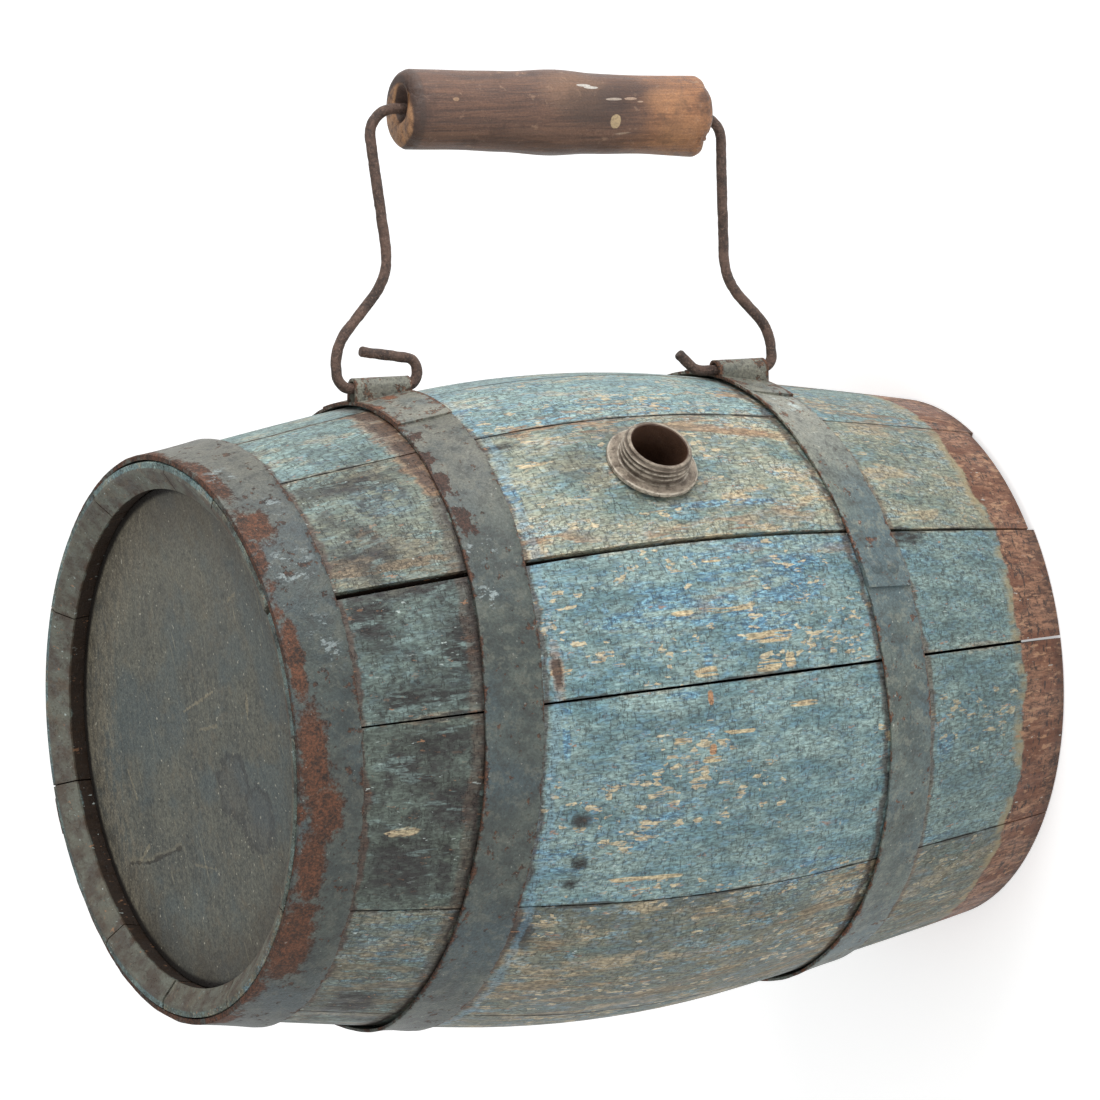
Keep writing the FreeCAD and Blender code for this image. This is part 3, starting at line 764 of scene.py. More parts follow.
def stave_look(name, index, paint, blue, cream, bare, dark):
    m = Look(name + "_paint")
    z = m.dot(m.here, (0, 0, 1))
    r = m.radius()
    grain = m.stretched((1, 1, 0.14))
    fleck = m.stretched((1, 1, 0.35))
    fibre = m.stretched((1, 1, 0.04))

    fibres = m.noise(0.001, 2, 0.7, fibre)
    broad = m.noise(0.034, 2, 0.6, fleck)
    patchy = m.noise(0.008, 3, 0.65, fleck)
    fine = m.noise(0.0008, 1.5, 0.75, fleck)
    streaks = m.noise(0.0036, 3, 0.68, grain)
    ragged = m.noise(0.0022, 3, 0.7, fleck)
    edge_far, cell = m.net(0.0017, m.stretched((1, 1, 0.55)), 0.0014)

    # two coats, the upper one crackled into small plates
    m.colour = m.mix(m.step(patchy, 0.36, 0.64), paint[0], paint[1])
    m.tinge(broad, 0.52, 0.7, 0.5, rgb(154, 172, 162))
    blotch = m.noise(0.011, 4, 0.7, fleck)
    if paint in (PALE, OLIVE, TEAL):
        much = 0.7 if paint is PALE else 0.45
        m.tinge(blotch, 0.54, 0.6, much, rgb(182, 160, 126))
        m.tinge(blotch, 0.44, 0.38, much, rgb(112, 140, 136))
        m.tinge(patchy, 0.6, 0.66, 0.5, rgb(120, 160, 176))
    m.shade(m.step(blotch, 0.34, 0.66, 0.86, 1.14))
    under = m.step(streaks, 0.49, 0.56) * m.step(broad, 0.62 - 0.3 * blue, 0.72 - 0.3 * blue)
    blue_at = m.marks(BLUE_MARKS.get(name, ()), ragged, 0.9)
    under = m.any(under * 0.64, blue_at * 0.7) * m.step(ragged, 0.38, 0.52)
    m.coat(under, m.mix(m.step(fine, 0.5, 0.66), BLUE, SKY))
    m.tinge(streaks, 0.6, 0.66, 0.1 if paint is OLIVE else 0.28, SKY)
    m.tinge(ragged, 0.5, 0.6, 0.2 + 0.4 * blue, rgb(88, 130, 154))

    # plates that came off down to the wood or the priming
    wood = m.mix(m.step(fibres, 0.35, 0.65), *(OLIVE_WOOD if paint is OLIVE else BROWN_WOOD))
    cream_wood = m.mix(m.step(fibres, 0.36, 0.58), TAN, CREAM)
    spread = m.noise(0.026, 2, where=fleck) * 0.9 + cell * 0.5
    near = m.step(m.above(UPPER_HOOP), 0.01, 0.022)
    off_plate = m.step(spread, 0.95 - 0.14 * cream, 0.965 - 0.14 * cream)
    splinters = m.step(fibres, 0.41, 0.47)
    off_cell = off_plate * m.step(ragged, 0.42, 0.47) * splinters * (1 - near)
    marks = m.marks(CREAM_MARKS.get(name, ()), streaks, 1.1, 1.1, 0.9) * splinters
    orange = m.marks(ORANGE_MARKS.get(name, ()), ragged, 0.6)
    chipped = m.any(off_cell * 0.85, marks)
    halo = m.step(spread, 0.88 - 0.14 * cream, 0.92 - 0.14 * cream, 0.0, 0.4)
    m.coat(halo * (0.4 + 0.6 * blue), BLUE)
    m.coat(chipped, cream_wood)
    m.coat(orange * 0.85, m.mix(fibres, rgb(150, 98, 62), rgb(196, 146, 96)))
    rubbed = m.step(m.noise(0.006, 4, 0.72, grain), 0.5, 0.56)
    rubbed = rubbed * m.step(m.noise(0.036, 2, where=fleck), 0.62 - 0.3 * bare, 0.72 - 0.28 * bare)
    m.coat(rubbed * 0.85, wood)

    # darker paint on the length between the two upper hoops and past the lower one
    m.coat(near * dark, m.mix(patchy, *GREY_GREEN))
    m.tinge(z, 0.075, 0.05, 0.36, m.mix(patchy, *GREY_GREEN))
    cloud = m.noise(0.0105, 4, 0.62)
    sooty = m.step(cloud, 0.45, 0.64) * near
    soot = m.any(sooty * (0.2 + 0.8 * dark),
                 m.marks(SOOT_MARKS.get(name, ()), cloud, 1.2, 1.45, 0.35))
    soot = soot * m.step(ragged, 0.36, 0.56, 0.62, 1)
    m.coat(soot, SOOT)
    m.coat(marks * 0.85, cream_wood)
    grime = m.marks(GRIME_MARKS.get(name, ()), cloud, 1.3, 1.5, 0.6)
    m.coat(grime * 0.5, rgb(78, 74, 60))
    m.coat(m.step(streaks, 0.57, 0.63) * near * 0.45, rgb(122, 142, 138))

    # worn and stained strips along the joints and the hoops; the dark strips at the hoops' edges
    # are rust stain and painted shadow of the gaps under the hoops
    gap = joint_gap(m, index)
    ragged_gap = gap + (streaks - 0.5) * 0.007
    worn = m.step(ragged_gap, 0.0016, 0.0006) * m.step(patchy, 0.46, 0.58)
    m.coat(worn * 0.5, m.mix(blotch, wood, rgb(168, 168, 150)))
    m.tinge(ragged_gap, 0.0007, 0.0001, 0.75, DARK)
    for hoop, foot, top, tint, much in STRIPS:
        h = m.above(hoop) + (cloud - 0.5) * 0.009
        strip = m.step(h, foot - 0.0008, foot + 0.0008) * m.step(h, top + 0.0008, top - 0.0012)
        m.coat(strip * much, tint)
    fringed = m.marks(STAIN_MARKS.get(name, ()), streaks, 1.4, 1.75, 1)
    m.coat(fringed * 0.55, rgb(148, 112, 80))
    stain = m.marks(STAIN_MARKS.get(name, ()), streaks, 1.2, 1.15, 0.6)
    m.coat(stain * 0.85, STAIN)

    # plates of the crackle, their cracks and fine dirt
    gate = m.step(patchy * 0.5 + broad * 0.5, 0.43, 0.58, 0.0, 0.5 if paint is SLATE else 0.9)
    crack = m.step(edge_far, 0.08, 0.02) * gate
    crack_fine = m.step(abs(ragged - 0.5), 0.018, 0.004, 0.0, 0.5)
    ticks = m.step(m.noise(0.0026, 2, 0.65, m.stretched((1, 1, 3.2))), 0.59, 0.64, 0.0, 0.75)
    whole = 1 - m.any(rubbed, chipped) * 0.7
    cracks = m.any(crack, crack_fine, ticks) * whole
    m.shade(m.step(fine, 0.26, 0.74, 0.52, 1.46) * m.step(cell, 0.0, 1, 0.9, 1.1))
    m.coat(cracks * 0.68, DARK)

    # bare band that the lost hoop covered
    edge = z + (m.noise(0.02, 5, 0.7) - 0.5) * 0.013
    band = m.step(edge, BAND + 0.0007, BAND - 0.0007)
    fringe = m.step(edge, BAND + 0.005, BAND + 0.001)
    long_fibre = m.noise(0.0013, 3, 0.8, m.stretched((1, 1, 0.22)))
    raw = m.mix(m.step(long_fibre, 0.36, 0.62), BARE_DARK, BARE_LIGHT)
    raw = m.mix(m.step(blotch, 0.46, 0.58, 0.0, 0.75), raw, rgb(102, 62, 44))
    dents = m.noise(0.004, 3, 0.75, m.stretched((1, 1, 2.5)))
    raw = m.mix(m.step(dents, 0.54, 0.62, 0.0, 0.9), raw, rgb(48, 35, 30))
    raw = m.mix(m.step(ragged, 0.56, 0.64, 0.0, 0.7), raw, rgb(176, 138, 108))
    raw = m.mix(m.step(z, 0.006, 0.001, 0.0, 0.45), raw, rgb(56, 40, 34))
    m.coat(fringe * m.step(patchy, 0.42, 0.56, 0.1, 0.75), FRINGE)
    m.coat(band, raw)

    # unpainted wood inside, ragged where the paint of the rim ends; its near-black colour is
    # partly painted shade of the recess
    share = (z - LENGTH / 2) * (2 / LENGTH)
    deep = R_MID - share * share * (R_MID - R_END) - r
    rim = z + (patchy - 0.5) * 0.006
    inside = m.step(deep, 0.0035, 0.0045) * m.step(rim, LENGTH - 0.0042, LENGTH - 0.0052)
    m.coat(inside, m.mix(fibres, rgb(26, 20, 16), rgb(60, 45, 33)))
    chime = m.step(deep, 0.0016, 0.0022) * m.step(z, LENGTH - 0.0056, LENGTH - 0.005)
    m.coat(chime * 0.82, m.mix(m.step(patchy, 0.38, 0.62), rgb(82, 68, 56), rgb(106, 104, 92)))

    some = m.step(patchy, 0.44, 0.58, 0.15, 1)
    small = m.noise(0.0013, 2, where=fleck)
    m.coat(m.step(small, 0.69, 0.73, 0.0, 0.65) * some, rgb(196, 208, 204))
    m.coat(m.step(ragged, 0.64, 0.67, 0.0, 0.6) * some, rgb(168, 122, 88))
    height = fibres * 0.3 - ticks * 0.4 + fine * 0.35 + patchy * 0.5
    return m.done(m.step(patchy, 0.3, 0.7, 0.46, 0.72), height)


# Strips beside the hoops: hoop, from and to over its lower edge, colour, strength. The dark ones
# at the hoops' edges are rust stain and painted shadow.
STRIPS = (
    (UPPER_HOOP, 0.0196, 0.025, rgb(84, 64, 50), 0.45),
    # nearly black: painted shadow of the gap where the upper hoop stands off
    (UPPER_HOOP, 0.0196, 0.0217, rgb(40, 30, 25), 0.85),
    (UPPER_HOOP, -0.0022, 0.0004, rgb(70, 52, 42), 0.7),
    (UPPER_HOOP, -0.0062, -0.003, rgb(110, 144, 162), 0.4),
    (LOWER_HOOP, 0.018, 0.021, rgb(74, 56, 46), 0.7),
    (LOWER_HOOP, -0.0028, 0.0004, rgb(96, 76, 58), 0.65),
    (HEAD_HOOP, -0.0026, 0.0004, rgb(76, 54, 42), 0.75),
)


# Painted iron

IRON_TONES = (rgb(62, 70, 66), rgb(90, 98, 90))
IRON_BLUE = rgb(72, 90, 96)
RUST = rgb(106, 66, 42)
RUST_DARK = rgb(54, 38, 31)
RUST_RED = rgb(88, 58, 46)
RUST_WARM = rgb(136, 82, 54)
DUST_AND_SHEEN_AT = -52            # direction in which the paler side of the iron faces: dust and painted sheen


def iron_look(name, hoop, rust, scabs=(), warm=(), pale=(), rim_rust=0.0, tone=1, spotted=0.61):
    """Painted iron, rusted from its edges."""
    m = Look(name + "_iron")
    h = m.above(hoop)
    tall = hoop[1] - hoop[0]
    patch = m.noise(0.012, 4, 0.65)
    mottle = m.noise(0.0042, 4, 0.7)
    fine = m.noise(0.0009, 2, 0.75)
    broad = m.noise(0.045, 3)
    to_edge = tall / 2 - abs(h - tall / 2)
    m.colour = m.mix(m.step(patch, 0.36, 0.66), *IRON_TONES)
    m.coat(m.step(broad, 0.42, 0.62, 0.1, 0.75), IRON_BLUE)
    m.tinge(mottle, 0.5, 0.62, 0.45, rgb(116, 118, 106))
    # paler side of the iron towards the top: dust, and painted sheen where the light falls on it
    dust_and_sheen_side = m.step(m.towards(DUST_AND_SHEEN_AT, R_MID), 0.62, 0.92)
    dust_and_sheen = dust_and_sheen_side * m.step(patch, 0.32, 0.56, 0.35, 0.85)
    m.coat(dust_and_sheen * 0.8, m.mix(mottle, rgb(126, 124, 112), rgb(150, 146, 130)))
    m.tinge(mottle, 0.46, 0.36, 0.55, rgb(58, 60, 56))
    ragged = to_edge + (mottle - 0.5) * 0.0065 + (patch - 0.5) * 0.005
    edge_rust = m.step(ragged, rust + 0.0007, rust - 0.0004)
    spots = m.step(m.noise(0.005, 3, 0.75), spotted, spotted + 0.05, 0.0, 0.85)
    scab_at = m.marks(scabs, mottle, 2.2)
    warm_at = m.marks(warm, mottle * 0.7 + fine * 0.3, 1.4, 1.15, 0.75)
    if rim_rust:
        from_top = tall - h + (patch - 0.5) * 0.03 + (mottle - 0.5) * 0.01 + (fine - 0.5) * 0.006
        warm_at = m.any(warm_at, m.step(from_top, rim_rust + 0.002, rim_rust - 0.002))
    rusty = m.any(edge_rust, spots, scab_at, warm_at)
    rust_colour = m.mix(m.step(fine, 0.34, 0.66), RUST_DARK, RUST)
    rust_colour = m.mix(scab_at, rust_colour, m.mix(m.step(fine, 0.3, 0.7), RUST_DARK, RUST_RED))
    rust_colour = m.mix(warm_at * m.step(mottle, 0.38, 0.58, 0.0, 0.85), rust_colour,
                        m.mix(m.step(fine, 0.34, 0.62), RUST, RUST_WARM))
    m.coat(rusty * 0.9, rust_colour)
    scratch = m.step(m.noise(0.0024, 3, 0.75, m.stretched((1, 1, 0.5))), 0.54, 0.6)
    pale_at = m.marks(pale, patch, 1, 1.3, 0.4) * scratch
    m.coat(pale_at * 0.7, rgb(176, 190, 190))
    m.tinge(m.noise(0.0015, 2), 0.71, 0.75, 0.5, rgb(196, 196, 186))
    pits = m.noise(0.0014, 3, where=m.stretched((1, 1, 0.8), 0.0, (0.2, 0.5, 0.1)))
    m.tinge(pits, 0.64, 0.7, 0.6, rgb(56, 44, 38))
    m.shade(m.step(fine, 0.28, 0.74, 0.7 * tone, 1.26 * tone))
    return m.done(0.5 + rusty * 0.28, m.any(edge_rust, spots) * (mottle - 0.8) + fine * 0.45)


# Head at the hooped end: its grain runs across the raised bail

HEAD_GRAIN = -45.5        # direction of the grain, as seen from above
PICTURE_RIGHT_AT = HEAD_GRAIN - 98.5
HEAD_FACE = LENGTH - 10.6 * MM
SCUFFED_AT = 35           # direction of the scuffed side of the rim


def on_head(right_mm, up_mm):
    """Place on the head, from its middle, as the picture shows it."""
    across = polar(up_mm, HEAD_GRAIN) + polar(right_mm, PICTURE_RIGHT_AT)
    return AXIS + across * MM + Vector((0, 0, HEAD_FACE))


def head_look(name):
    m = Look(name + "_paint")
    along = m.stretched((0.08, 1, 1), HEAD_GRAIN)
    lines = m.noise(0.0016, 4, 0.7, along)
    patch = m.noise(0.024, 4, 0.65)
    mottle = m.noise(0.005, 4, 0.7)
    fine = m.noise(0.0008, 2, 0.75)
    r = m.radius()
    grit = m.noise(0.0018, 3, 0.8)
    m.colour = m.mix(m.step(patch, 0.3, 0.72), rgb(74, 78, 74), rgb(100, 101, 92))
    m.tinge(grit, 0.46, 0.62, 0.45, rgb(124, 122, 108))
    m.tinge(grit, 0.46, 0.34, 0.55, rgb(48, 50, 46))
    # paler towards the top of the picture: painted light from above, partly dust
    m.tinge(m.towards(HEAD_GRAIN), 0.0, 0.075, 0.4, rgb(134, 130, 116))
    m.tinge(lines, 0.46, 0.64, 0.3, rgb(120, 122, 110))
    m.tinge(mottle, 0.54, 0.66, 0.4, rgb(112, 104, 88))
    m.tinge(mottle, 0.44, 0.34, 0.4, rgb(58, 60, 56))
    m.tinge(m.noise(0.03, 4, 0.6), 0.46, 0.6, 0.4, rgb(82, 98, 102))

    # brown dirt round the rim, scuffed down to the wood at one side
    wide = r + (mottle - 0.5) * 0.03
    m.tinge(wide, 0.06, 0.079, 0.5, rgb(78, 68, 54))
    scratchy = m.noise(0.0024, 3, 0.8, m.stretched((0.5, 1, 1), HEAD_GRAIN))
    scuffed = m.step(m.towards(SCUFFED_AT), 0.02, 0.052) * m.step(wide, 0.054, 0.068)
    scuffed = scuffed * m.step(scratchy, 0.42, 0.58)
    m.coat(scuffed * 0.6, m.mix(fine, rgb(108, 102, 88), rgb(148, 141, 122)))
    lobes = []
    for at in HEAD_STAIN:
        q = m.radius(on_head(*at), (1 / HEAD_STAIN_R, 1 / HEAD_STAIN_R, 0))
        lobes.append(q + (mottle - 0.5) * 1.1)
    q = m.math("MINIMUM", *lobes)
    inside = m.step(q, 1.04, 0.97)
    ring = inside * m.step(q, 0.74, 0.9)
    m.coat(inside * 0.3, rgb(76, 78, 80))
    m.coat(ring * 0.42, rgb(44, 43, 42))
    for a, b, half, tint, much in HEAD_STREAKS:
        mask = m.streak(on_head(*a), on_head(*b), half * MM, mottle, 0.005)
        m.coat(mask * much, tint)
    scratches = m.noise(0.0011, 2, 0.5, m.stretched((0.06, 1, 1), HEAD_GRAIN + 20))
    m.coat(m.step(scratches, 0.7, 0.73) * 0.55, rgb(152, 146, 124))
    m.coat(m.step(m.noise(0.0016, 1), 0.74, 0.77, 0.0, 0.6), rgb(190, 186, 168))
    # near-black ring at the edge of the head: painted shade of the gap between the head and the
    # staves
    m.coat(m.step(r, 0.0812, 0.0832), rgb(26, 22, 18))
    m.shade(m.step(fine, 0.28, 0.74, 0.7, 1.28))
    height = lines * 0.35 + grit * 0.6 + patch * 0.8
    return m.done(m.step(patch, 0.3, 0.7, 0.46, 0.66), height)


# Marks on the head in mm from its middle, to the right and up in the picture
HEAD_STAIN = ((27, -11.8), (43, -20))
HEAD_STAIN_R = 0.0115
SCUFF = rgb(144, 136, 114)
HEAD_STREAKS = (
    ((-6.4, 7.4), (15.9, 17.9), 0.55, SCUFF, 0.7),
    ((41, 21.8), (40.8, 13.2), 0.5, SCUFF, 0.7),
    ((32, 50.4), (37.6, 53.9), 0.5, SCUFF, 0.6),
    ((4, 3.1), (17.3, 6.5), 0.35, SCUFF, 0.5),
    ((-49.5, -52), (-41.3, -44.4), 0.7, SCUFF, 0.6),
    ((-53.4, -20.5), (-48, -29.5), 0.7, SCUFF, 0.6),
    ((-6, -44.1), (8.9, -42.9), 0.3, SCUFF, 0.4),
    ((-57.3, -52.6), (-42.2, -49.6), 0.8, SCUFF, 0.3),
    ((-42.2, -49.6), (-16.4, -39.7), 0.8, SCUFF, 0.3),
    ((-57.3, -53.4), (-42.2, -50.4), 0.4, DARK, 0.7),
    ((-42.2, -50.4), (-16.4, -40.5), 0.4, DARK, 0.7),
)


def spout_look(name):
    m = Look(name + "_metal")
    patch = m.noise(0.006, 4, 0.6)
    fine = m.noise(0.0007, 4, 0.75)
    mottle = m.noise(0.0022, 4, 0.7)
    m.colour = m.mix(m.step(patch, 0.32, 0.68), rgb(104, 92, 80), rgb(168, 156, 140))
    m.tinge(mottle, 0.56, 0.68, 0.6, rgb(66, 54, 44))
    m.tinge(fine, 0.55, 0.75, 0.5, rgb(206, 196, 180))
    r = m.radius(SPOUT_SEAT, (1, 0, 1))
    from_neck = r - SPOUT_RIM_R
    # darker thread grooves: painted shade
    groove_shade = m.step(from_neck, -0.1 * MM, 0.1 * MM) * m.step(from_neck, 0.6 * MM, 0.2 * MM)
    m.coat(groove_shade * 0.6, rgb(58, 48, 40))
    # paler thread crests and collar edge: wear and painted highlight
    crest = m.step(from_neck, 0.6 * MM, 0.9 * MM) * m.step(from_neck, 1.6 * MM, 1.1 * MM)
    worn = m.any(crest, m.step(r, SPOUT_COLLAR_R - 0.7 * MM, SPOUT_COLLAR_R - 0.3 * MM))
    m.coat(worn * m.step(mottle, 0.36, 0.56, 0.2, 0.75), rgb(206, 196, 180))
    crust = m.step(m.noise(0.0032, 5, 0.75), 0.5, 0.6, 0.0, 0.65)
    m.coat(crust, m.mix(fine, rgb(50, 42, 36), rgb(112, 98, 84)))
    bore = m.step(r, SPOUT_BORE_R + 0.0005, SPOUT_BORE_R + 0.0002)
    m.coat(bore, m.mix(mottle, rgb(52, 34, 24), rgb(96, 68, 50)))
    return m.done(m.step(patch, 0.3, 0.7, 0.36, 0.58), fine + patch, 0.4 * MM, 0.55 - bore * 0.5)


def wire_look(name):
    m = Look(name + "_rust")
    patch = m.noise(0.006, 4, 0.65)
    fine = m.noise(0.0008, 4, 0.75)
    m.colour = m.mix(m.step(patch, 0.35, 0.65), rgb(60, 45, 38), rgb(106, 82, 70))
    m.tinge(fine, 0.5, 0.7, 0.7, rgb(146, 120, 106))
    m.tinge(fine, 0.46, 0.34, 0.7, rgb(30, 24, 22))
    return m.done(m.step(fine, 0.3, 0.7, 0.42, 0.72), fine + patch, 0.8 * MM)


def grip_look(name):
    m = Look(name + "_wood")
    way = EYE_AXIS
    along = m.dot(m.here, way)
    flat = m.vector("SUBTRACT", m.here, m.vector("SCALE", way, along))
    fibre = m.vector("ADD", flat, m.vector("SCALE", way, along * 0.05))
    lines = m.noise(0.0011, 5, 0.75, fibre)
    bands = m.noise(0.0045, 3, 0.6, fibre)
    patch = m.noise(0.016, 4, 0.65)
    mottle = m.noise(0.004, 5, 0.7, warp=0.4)
    fine = m.noise(0.0007, 3, 0.75)
    m.colour = m.mix(m.step(lines, 0.34, 0.66), rgb(76, 54, 44), rgb(108, 78, 62))
    m.tinge(bands, 0.5, 0.64, 0.35, rgb(138, 102, 80))
    share = (along - (LOWER_EYE.dot(way) + GRIP_ENDS[0] * MM)) / (GRIP_LONG * MM)
    run = share + (patch - 0.5) * 0.5
    m.coat(m.step(run, 0.36, 0.1) * m.step(mottle, 0.34, 0.54, 0.4, 0.9),
           m.mix(m.step(lines, 0.34, 0.62), rgb(124, 82, 54), rgb(168, 118, 80)))
    m.tinge(patch, 0.46, 0.34, 0.6, rgb(66, 44, 34))
    m.tinge(mottle, 0.6, 0.68, 0.35, rgb(168, 136, 110))
    mark = m.step(m.noise(0.0018, 2, where=m.vector("MULTIPLY", fibre, (0.5, 0.5, 1))), 0.7, 0.74)
    m.coat(mark * 0.5, rgb(186, 164, 140))
    for at, towards, wide, long, tint, much in GRIP_MARKS:
        q = m.away(grip_place(at, towards))
        on = abs(m.dot(q, way))
        over = m.length(m.vector("CROSS_PRODUCT", q, way))
        q = (on / long) ** 2 + (over / wide) ** 2 + (mottle - 0.5) * 1.2
        m.tinge(q, *((1.9, 0.1) if wide > SOFT_FROM else (1.05, 0.85)), much, tint)

    # dark ring behind the upper end; end grain, paler inside a dark rim
    m.coat(m.step(share, 0.95, 0.962) * 0.6, rgb(56, 41, 34))
    middle = m.away(grip_place(0.5, 0.0, 0.0))
    from_axis = m.length(m.vector("CROSS_PRODUCT", middle, way))
    end = m.step(abs(share - 0.5), 0.488, 0.4935)
    m.coat(end * m.step(from_axis, 0.0124, 0.0112),
           m.mix(m.step(mottle, 0.36, 0.6), rgb(96, 66, 46), rgb(168, 126, 90)))
    m.coat(end * m.step(from_axis, 0.0112, 0.0122) * 0.6, rgb(58, 40, 32))
    m.shade(m.step(fine, 0.28, 0.74, 0.76, 1.22))
    height = lines * 0.6 + fine * 0.3 + mottle * 0.4
    return m.done(m.step(lines, 0.3, 0.7, 0.34, 0.55), height)


# Marks on the grip: share of its length, direction, half width and half length in
# metres, colour, strength. Wide ones have a soft edge.
SOFT_FROM = 0.004
GRIP_MARKS = (
    (0.46, -60, 0.009, 0.012, rgb(138, 106, 82), 0.45),
    (0.4, -84, 0.007, 0.013, rgb(48, 35, 30), 0.6),
    (0.3, -62, 0.005, 0.01, rgb(54, 38, 32), 0.5),
    (0.12, -118, 0.006, 0.008, rgb(172, 124, 84), 0.4),
    (0.16, -70, 0.005, 0.008, rgb(176, 128, 88), 0.4),
    (0.335, -104, 0.0026, 0.002, rgb(188, 164, 126), 0.85),
    (0.445, -52, 0.0007, 0.004, rgb(206, 202, 194), 0.8),
    (0.415, -55, 0.0006, 0.0034, rgb(206, 202, 194), 0.75),
    (0.34, -72, 0.0005, 0.0032, rgb(196, 180, 164), 0.6),
    (0.28, -70, 0.0006, 0.0028, rgb(198, 170, 146), 0.6),
    (0.25, -74, 0.0005, 0.002, rgb(198, 170, 146), 0.6),
    (0.55, -104, 0.0004, 0.0018, rgb(196, 182, 166), 0.6),
    (0.86, -78, 0.0008, 0.0014, rgb(176, 142, 110), 0.6),
)


def dress(node, look):
    """Puts one material on every face of a CAD node."""
    mesh = frame["nodes"][node].data
    mesh.materials.clear()
    mesh.materials.append(look)


def bent_hoop(node, hoop, thick, lap_at, lift, rust, **marks):
    """Bent hoop in place of the plain one of the solids."""
    stand_for(hoop_piece(node, hoop, thick, lap_at, lift), node, "keg",
              iron_look(node, hoop, rust, **marks))


for index, (node, values) in enumerate(STAVES.items()):
    dress(node, stave_look(node, index, *values))
for node in ("head_upper", "head_lower"):
    dress(node, head_look(node))
bent_hoop("head_hoop", HEAD_HOOP, HEAD_HOOP_T, 62, 0.6 * MM, 0.2 * MM,
          rim_rust=2.6 * MM, tone=0.585,
          warm=((-88, 293, 8, 6), (-138, 294, 18, 5), (-148, 290, 11, 6), (-160, 294, 14, 5),
                (-178, 294, 20, 7), (-118, 296, 16, 3), (-70, 296, 16, 3)),
          pale=((-99, 288, 8, 8), (-70, 292, 6, 5), (-116, 284, 10, 5), (-84, 284, 5, 3)))
bent_hoop("upper_hoop", UPPER_HOOP, HOOP_T, 118, 1.6 * MM, 0.0, tone=0.73,
          scabs=((-73, 224, 3, 3), (-80, 226, 3, 3), (-87, 226, 6, 3), (-96, 225, 5, 3)),
          warm=((-66, 224, 4, 5),), pale=((-112, 227, 5, 4), (-103, 224, 4, 5), (-70, 228, 8, 4)))
bent_hoop("lower_hoop", LOWER_HOOP, HOOP_T, -114, 1.5 * MM, -0.2 * MM, tone=1.3,
          pale=((-70, 76, 10, 6),))
dress("ear_upper", iron_look("ear_upper", UPPER_HOOP, 0.8 * MM, spotted=0.55,
                             warm=((-53, 213, 4, 3), (-58, 222, 3, 1.5))))
dress("ear_lower", iron_look("ear_lower", LOWER_HOOP, 0.6 * MM, spotted=0.56))
for node in ("hoop_rivets", "ear_rivets"):
    dress(node, iron_look(node, UPPER_HOOP, -1))
stand_for(spout_piece(), "spout", "keg", spout_look("spout"))
stand_for(wire_piece(), "bail_wire", "bail", wire_look("bail_wire"))
stand_for(grip_piece(), "grip", "grip", grip_look("grip"))


# Camera, as worked out from the outlines in the photograph. The keg stands on
# its bare end here and lies on its side in the picture, so the camera is rolled.

CAMERA_AT = Vector((-1.2041, -1.3769, 1.1908)) + AXIS
PICTURE_RIGHT = Vector((-0.4058, -0.2977, -0.8641))
PICTURE_UP = Vector((0.6985, -0.7108, -0.0832))
LENS = 199.1

# Stage
FRONT = Vector((-0.5894, -0.6373, 0.4964))   # roughly towards the camera
FLOOR_GREY = (0.86, 0.86, 0.86, 1)
FLOOR_GLOW = 0.47
SKY_LIGHT = 0.55


def camera():
    data = bpy.data.cameras.new("camera")
    data.sensor_width = 36
    data.lens = LENS
    data.clip_end = 30
    cam = bpy.data.objects.new("camera", data)
    bpy.context.scene.collection.objects.link(cam)
    right = PICTURE_RIGHT.normalized()
    up = (PICTURE_UP - right * PICTURE_UP.dot(right)).normalized()
    turn = Matrix((right, up, right.cross(up))).transposed()
    cam.matrix_world = Matrix.Translation(CAMERA_AT) @ turn.to_4x4()
    bpy.context.scene.camera = cam


def lamp(name, towards, distance, size, power):
    """Square soft box that faces the middle of the keg."""
    data = bpy.data.lights.new(name, "AREA")
    data.shape = "SQUARE"
    data.size = size
    data.energy = power
    box = bpy.data.objects.new(name, data)
    bpy.context.scene.collection.objects.link(box)
    way = towards.normalized()
    box.location = AXIS + Vector((0, 0, LENGTH / 2)) + way * distance
    box.rotation_mode = "QUATERNION"
    box.rotation_quaternion = way.to_track_quat("Z", "Y")


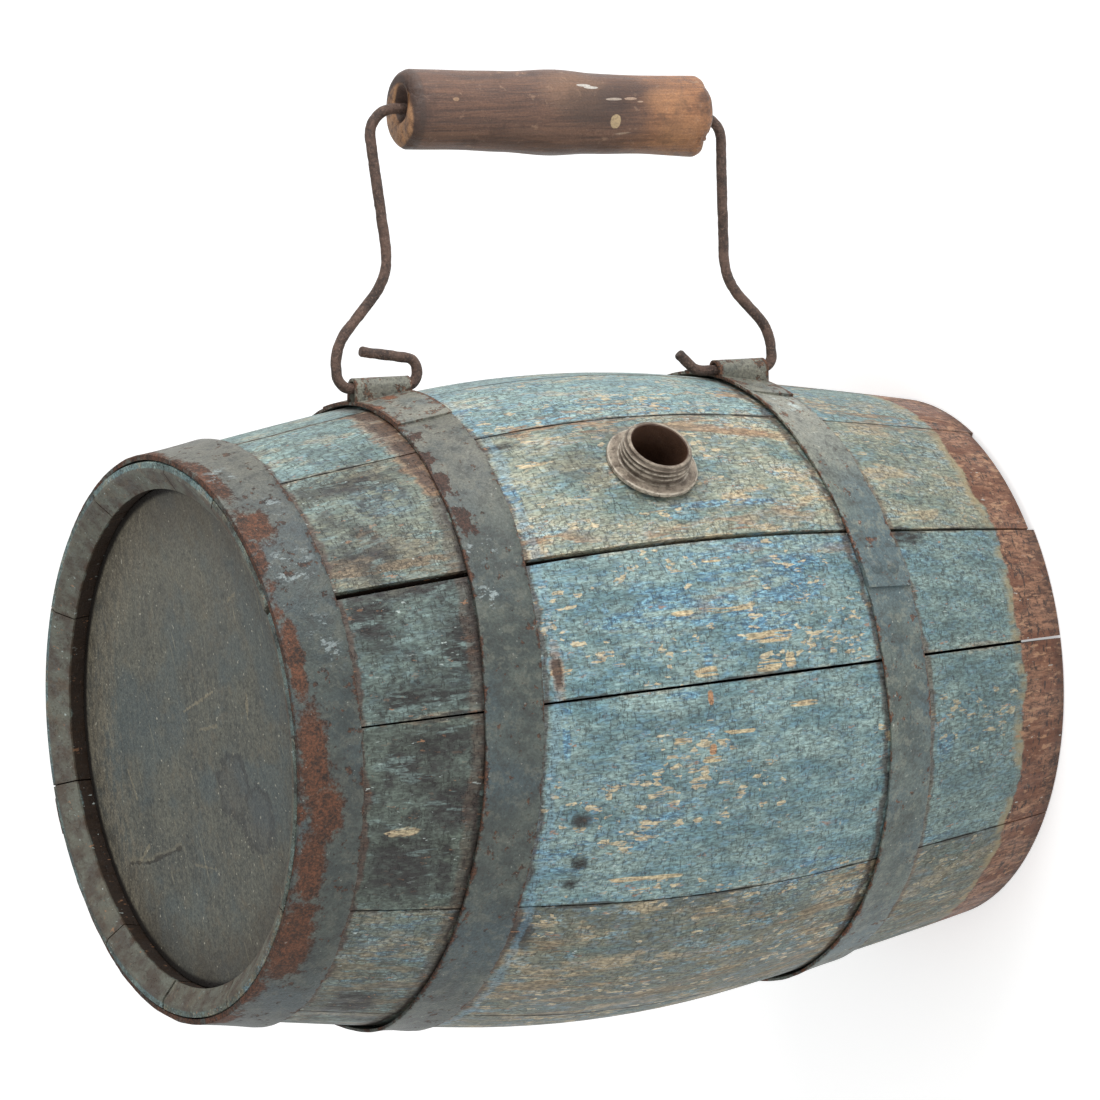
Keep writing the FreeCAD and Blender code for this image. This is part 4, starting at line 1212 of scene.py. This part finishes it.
def new_nodes(tree, *kinds):
    """Nodes in an emptied tree, after the call that links them."""
    tree.nodes.clear()
    return tree.links.new, *(tree.nodes.new("ShaderNode" + kind) for kind in kinds)


def floor():
    """Wide pale ground, a little shaded where the keg stands."""
    bpy.ops.mesh.primitive_plane_add(size=12, location=(0, 0, -0.4 * MM))
    ground = bpy.context.object
    ground.name = "floor"
    mat = bpy.data.materials.new("floor_white")
    mat.use_nodes = True
    link, out, skin, glow, both, pick, path, seen = new_nodes(
        mat.node_tree, "OutputMaterial", "BsdfDiffuse", "Emission", "AddShader", "MixShader",
        "LightPath", "Math")
    skin.inputs["Color"].default_value = FLOOR_GREY
    glow.inputs["Strength"].default_value = FLOOR_GLOW
    seen.operation = "MAXIMUM"
    link(path.outputs["Is Camera Ray"], seen.inputs[0])
    link(path.outputs["Is Glossy Ray"], seen.inputs[1])
    link(skin.outputs[0], both.inputs[0])
    link(glow.outputs[0], both.inputs[1])
    link(seen.outputs[0], pick.inputs[0])
    link(skin.outputs[0], pick.inputs[1])
    link(both.outputs[0], pick.inputs[2])
    link(pick.outputs[0], out.inputs[0])
    ground.data.materials.append(mat)


def world():
    """White where the camera sees it, dimmer where it only lights."""
    sky = bpy.data.worlds.new("studio")
    bpy.context.scene.world = sky
    sky.use_nodes = True
    link, out, fill, white, pick, path = new_nodes(
        sky.node_tree, "OutputWorld", "Background", "Background", "MixShader", "LightPath")
    for back, strength in ((fill, SKY_LIGHT), (white, 1)):
        back.inputs["Color"].default_value = (1, 1, 1, 1)
        back.inputs["Strength"].default_value = strength
    link(path.outputs["Is Camera Ray"], pick.inputs[0])
    link(fill.outputs[0], pick.inputs[1])
    link(white.outputs[0], pick.inputs[2])
    link(pick.outputs[0], out.inputs[0])


camera()
floor()
world()
lamp("key", PICTURE_UP + FRONT * 0.35, 1.6, 1.3, 29)
lamp("low", FRONT + PICTURE_RIGHT * 0.3 - PICTURE_UP * 0.45, 2.2, 1.2, 11)
lamp("fill", FRONT - PICTURE_RIGHT * 0.7, 2.2, 1.2, 7)

bpy.context.scene.view_settings.view_transform = "Standard"
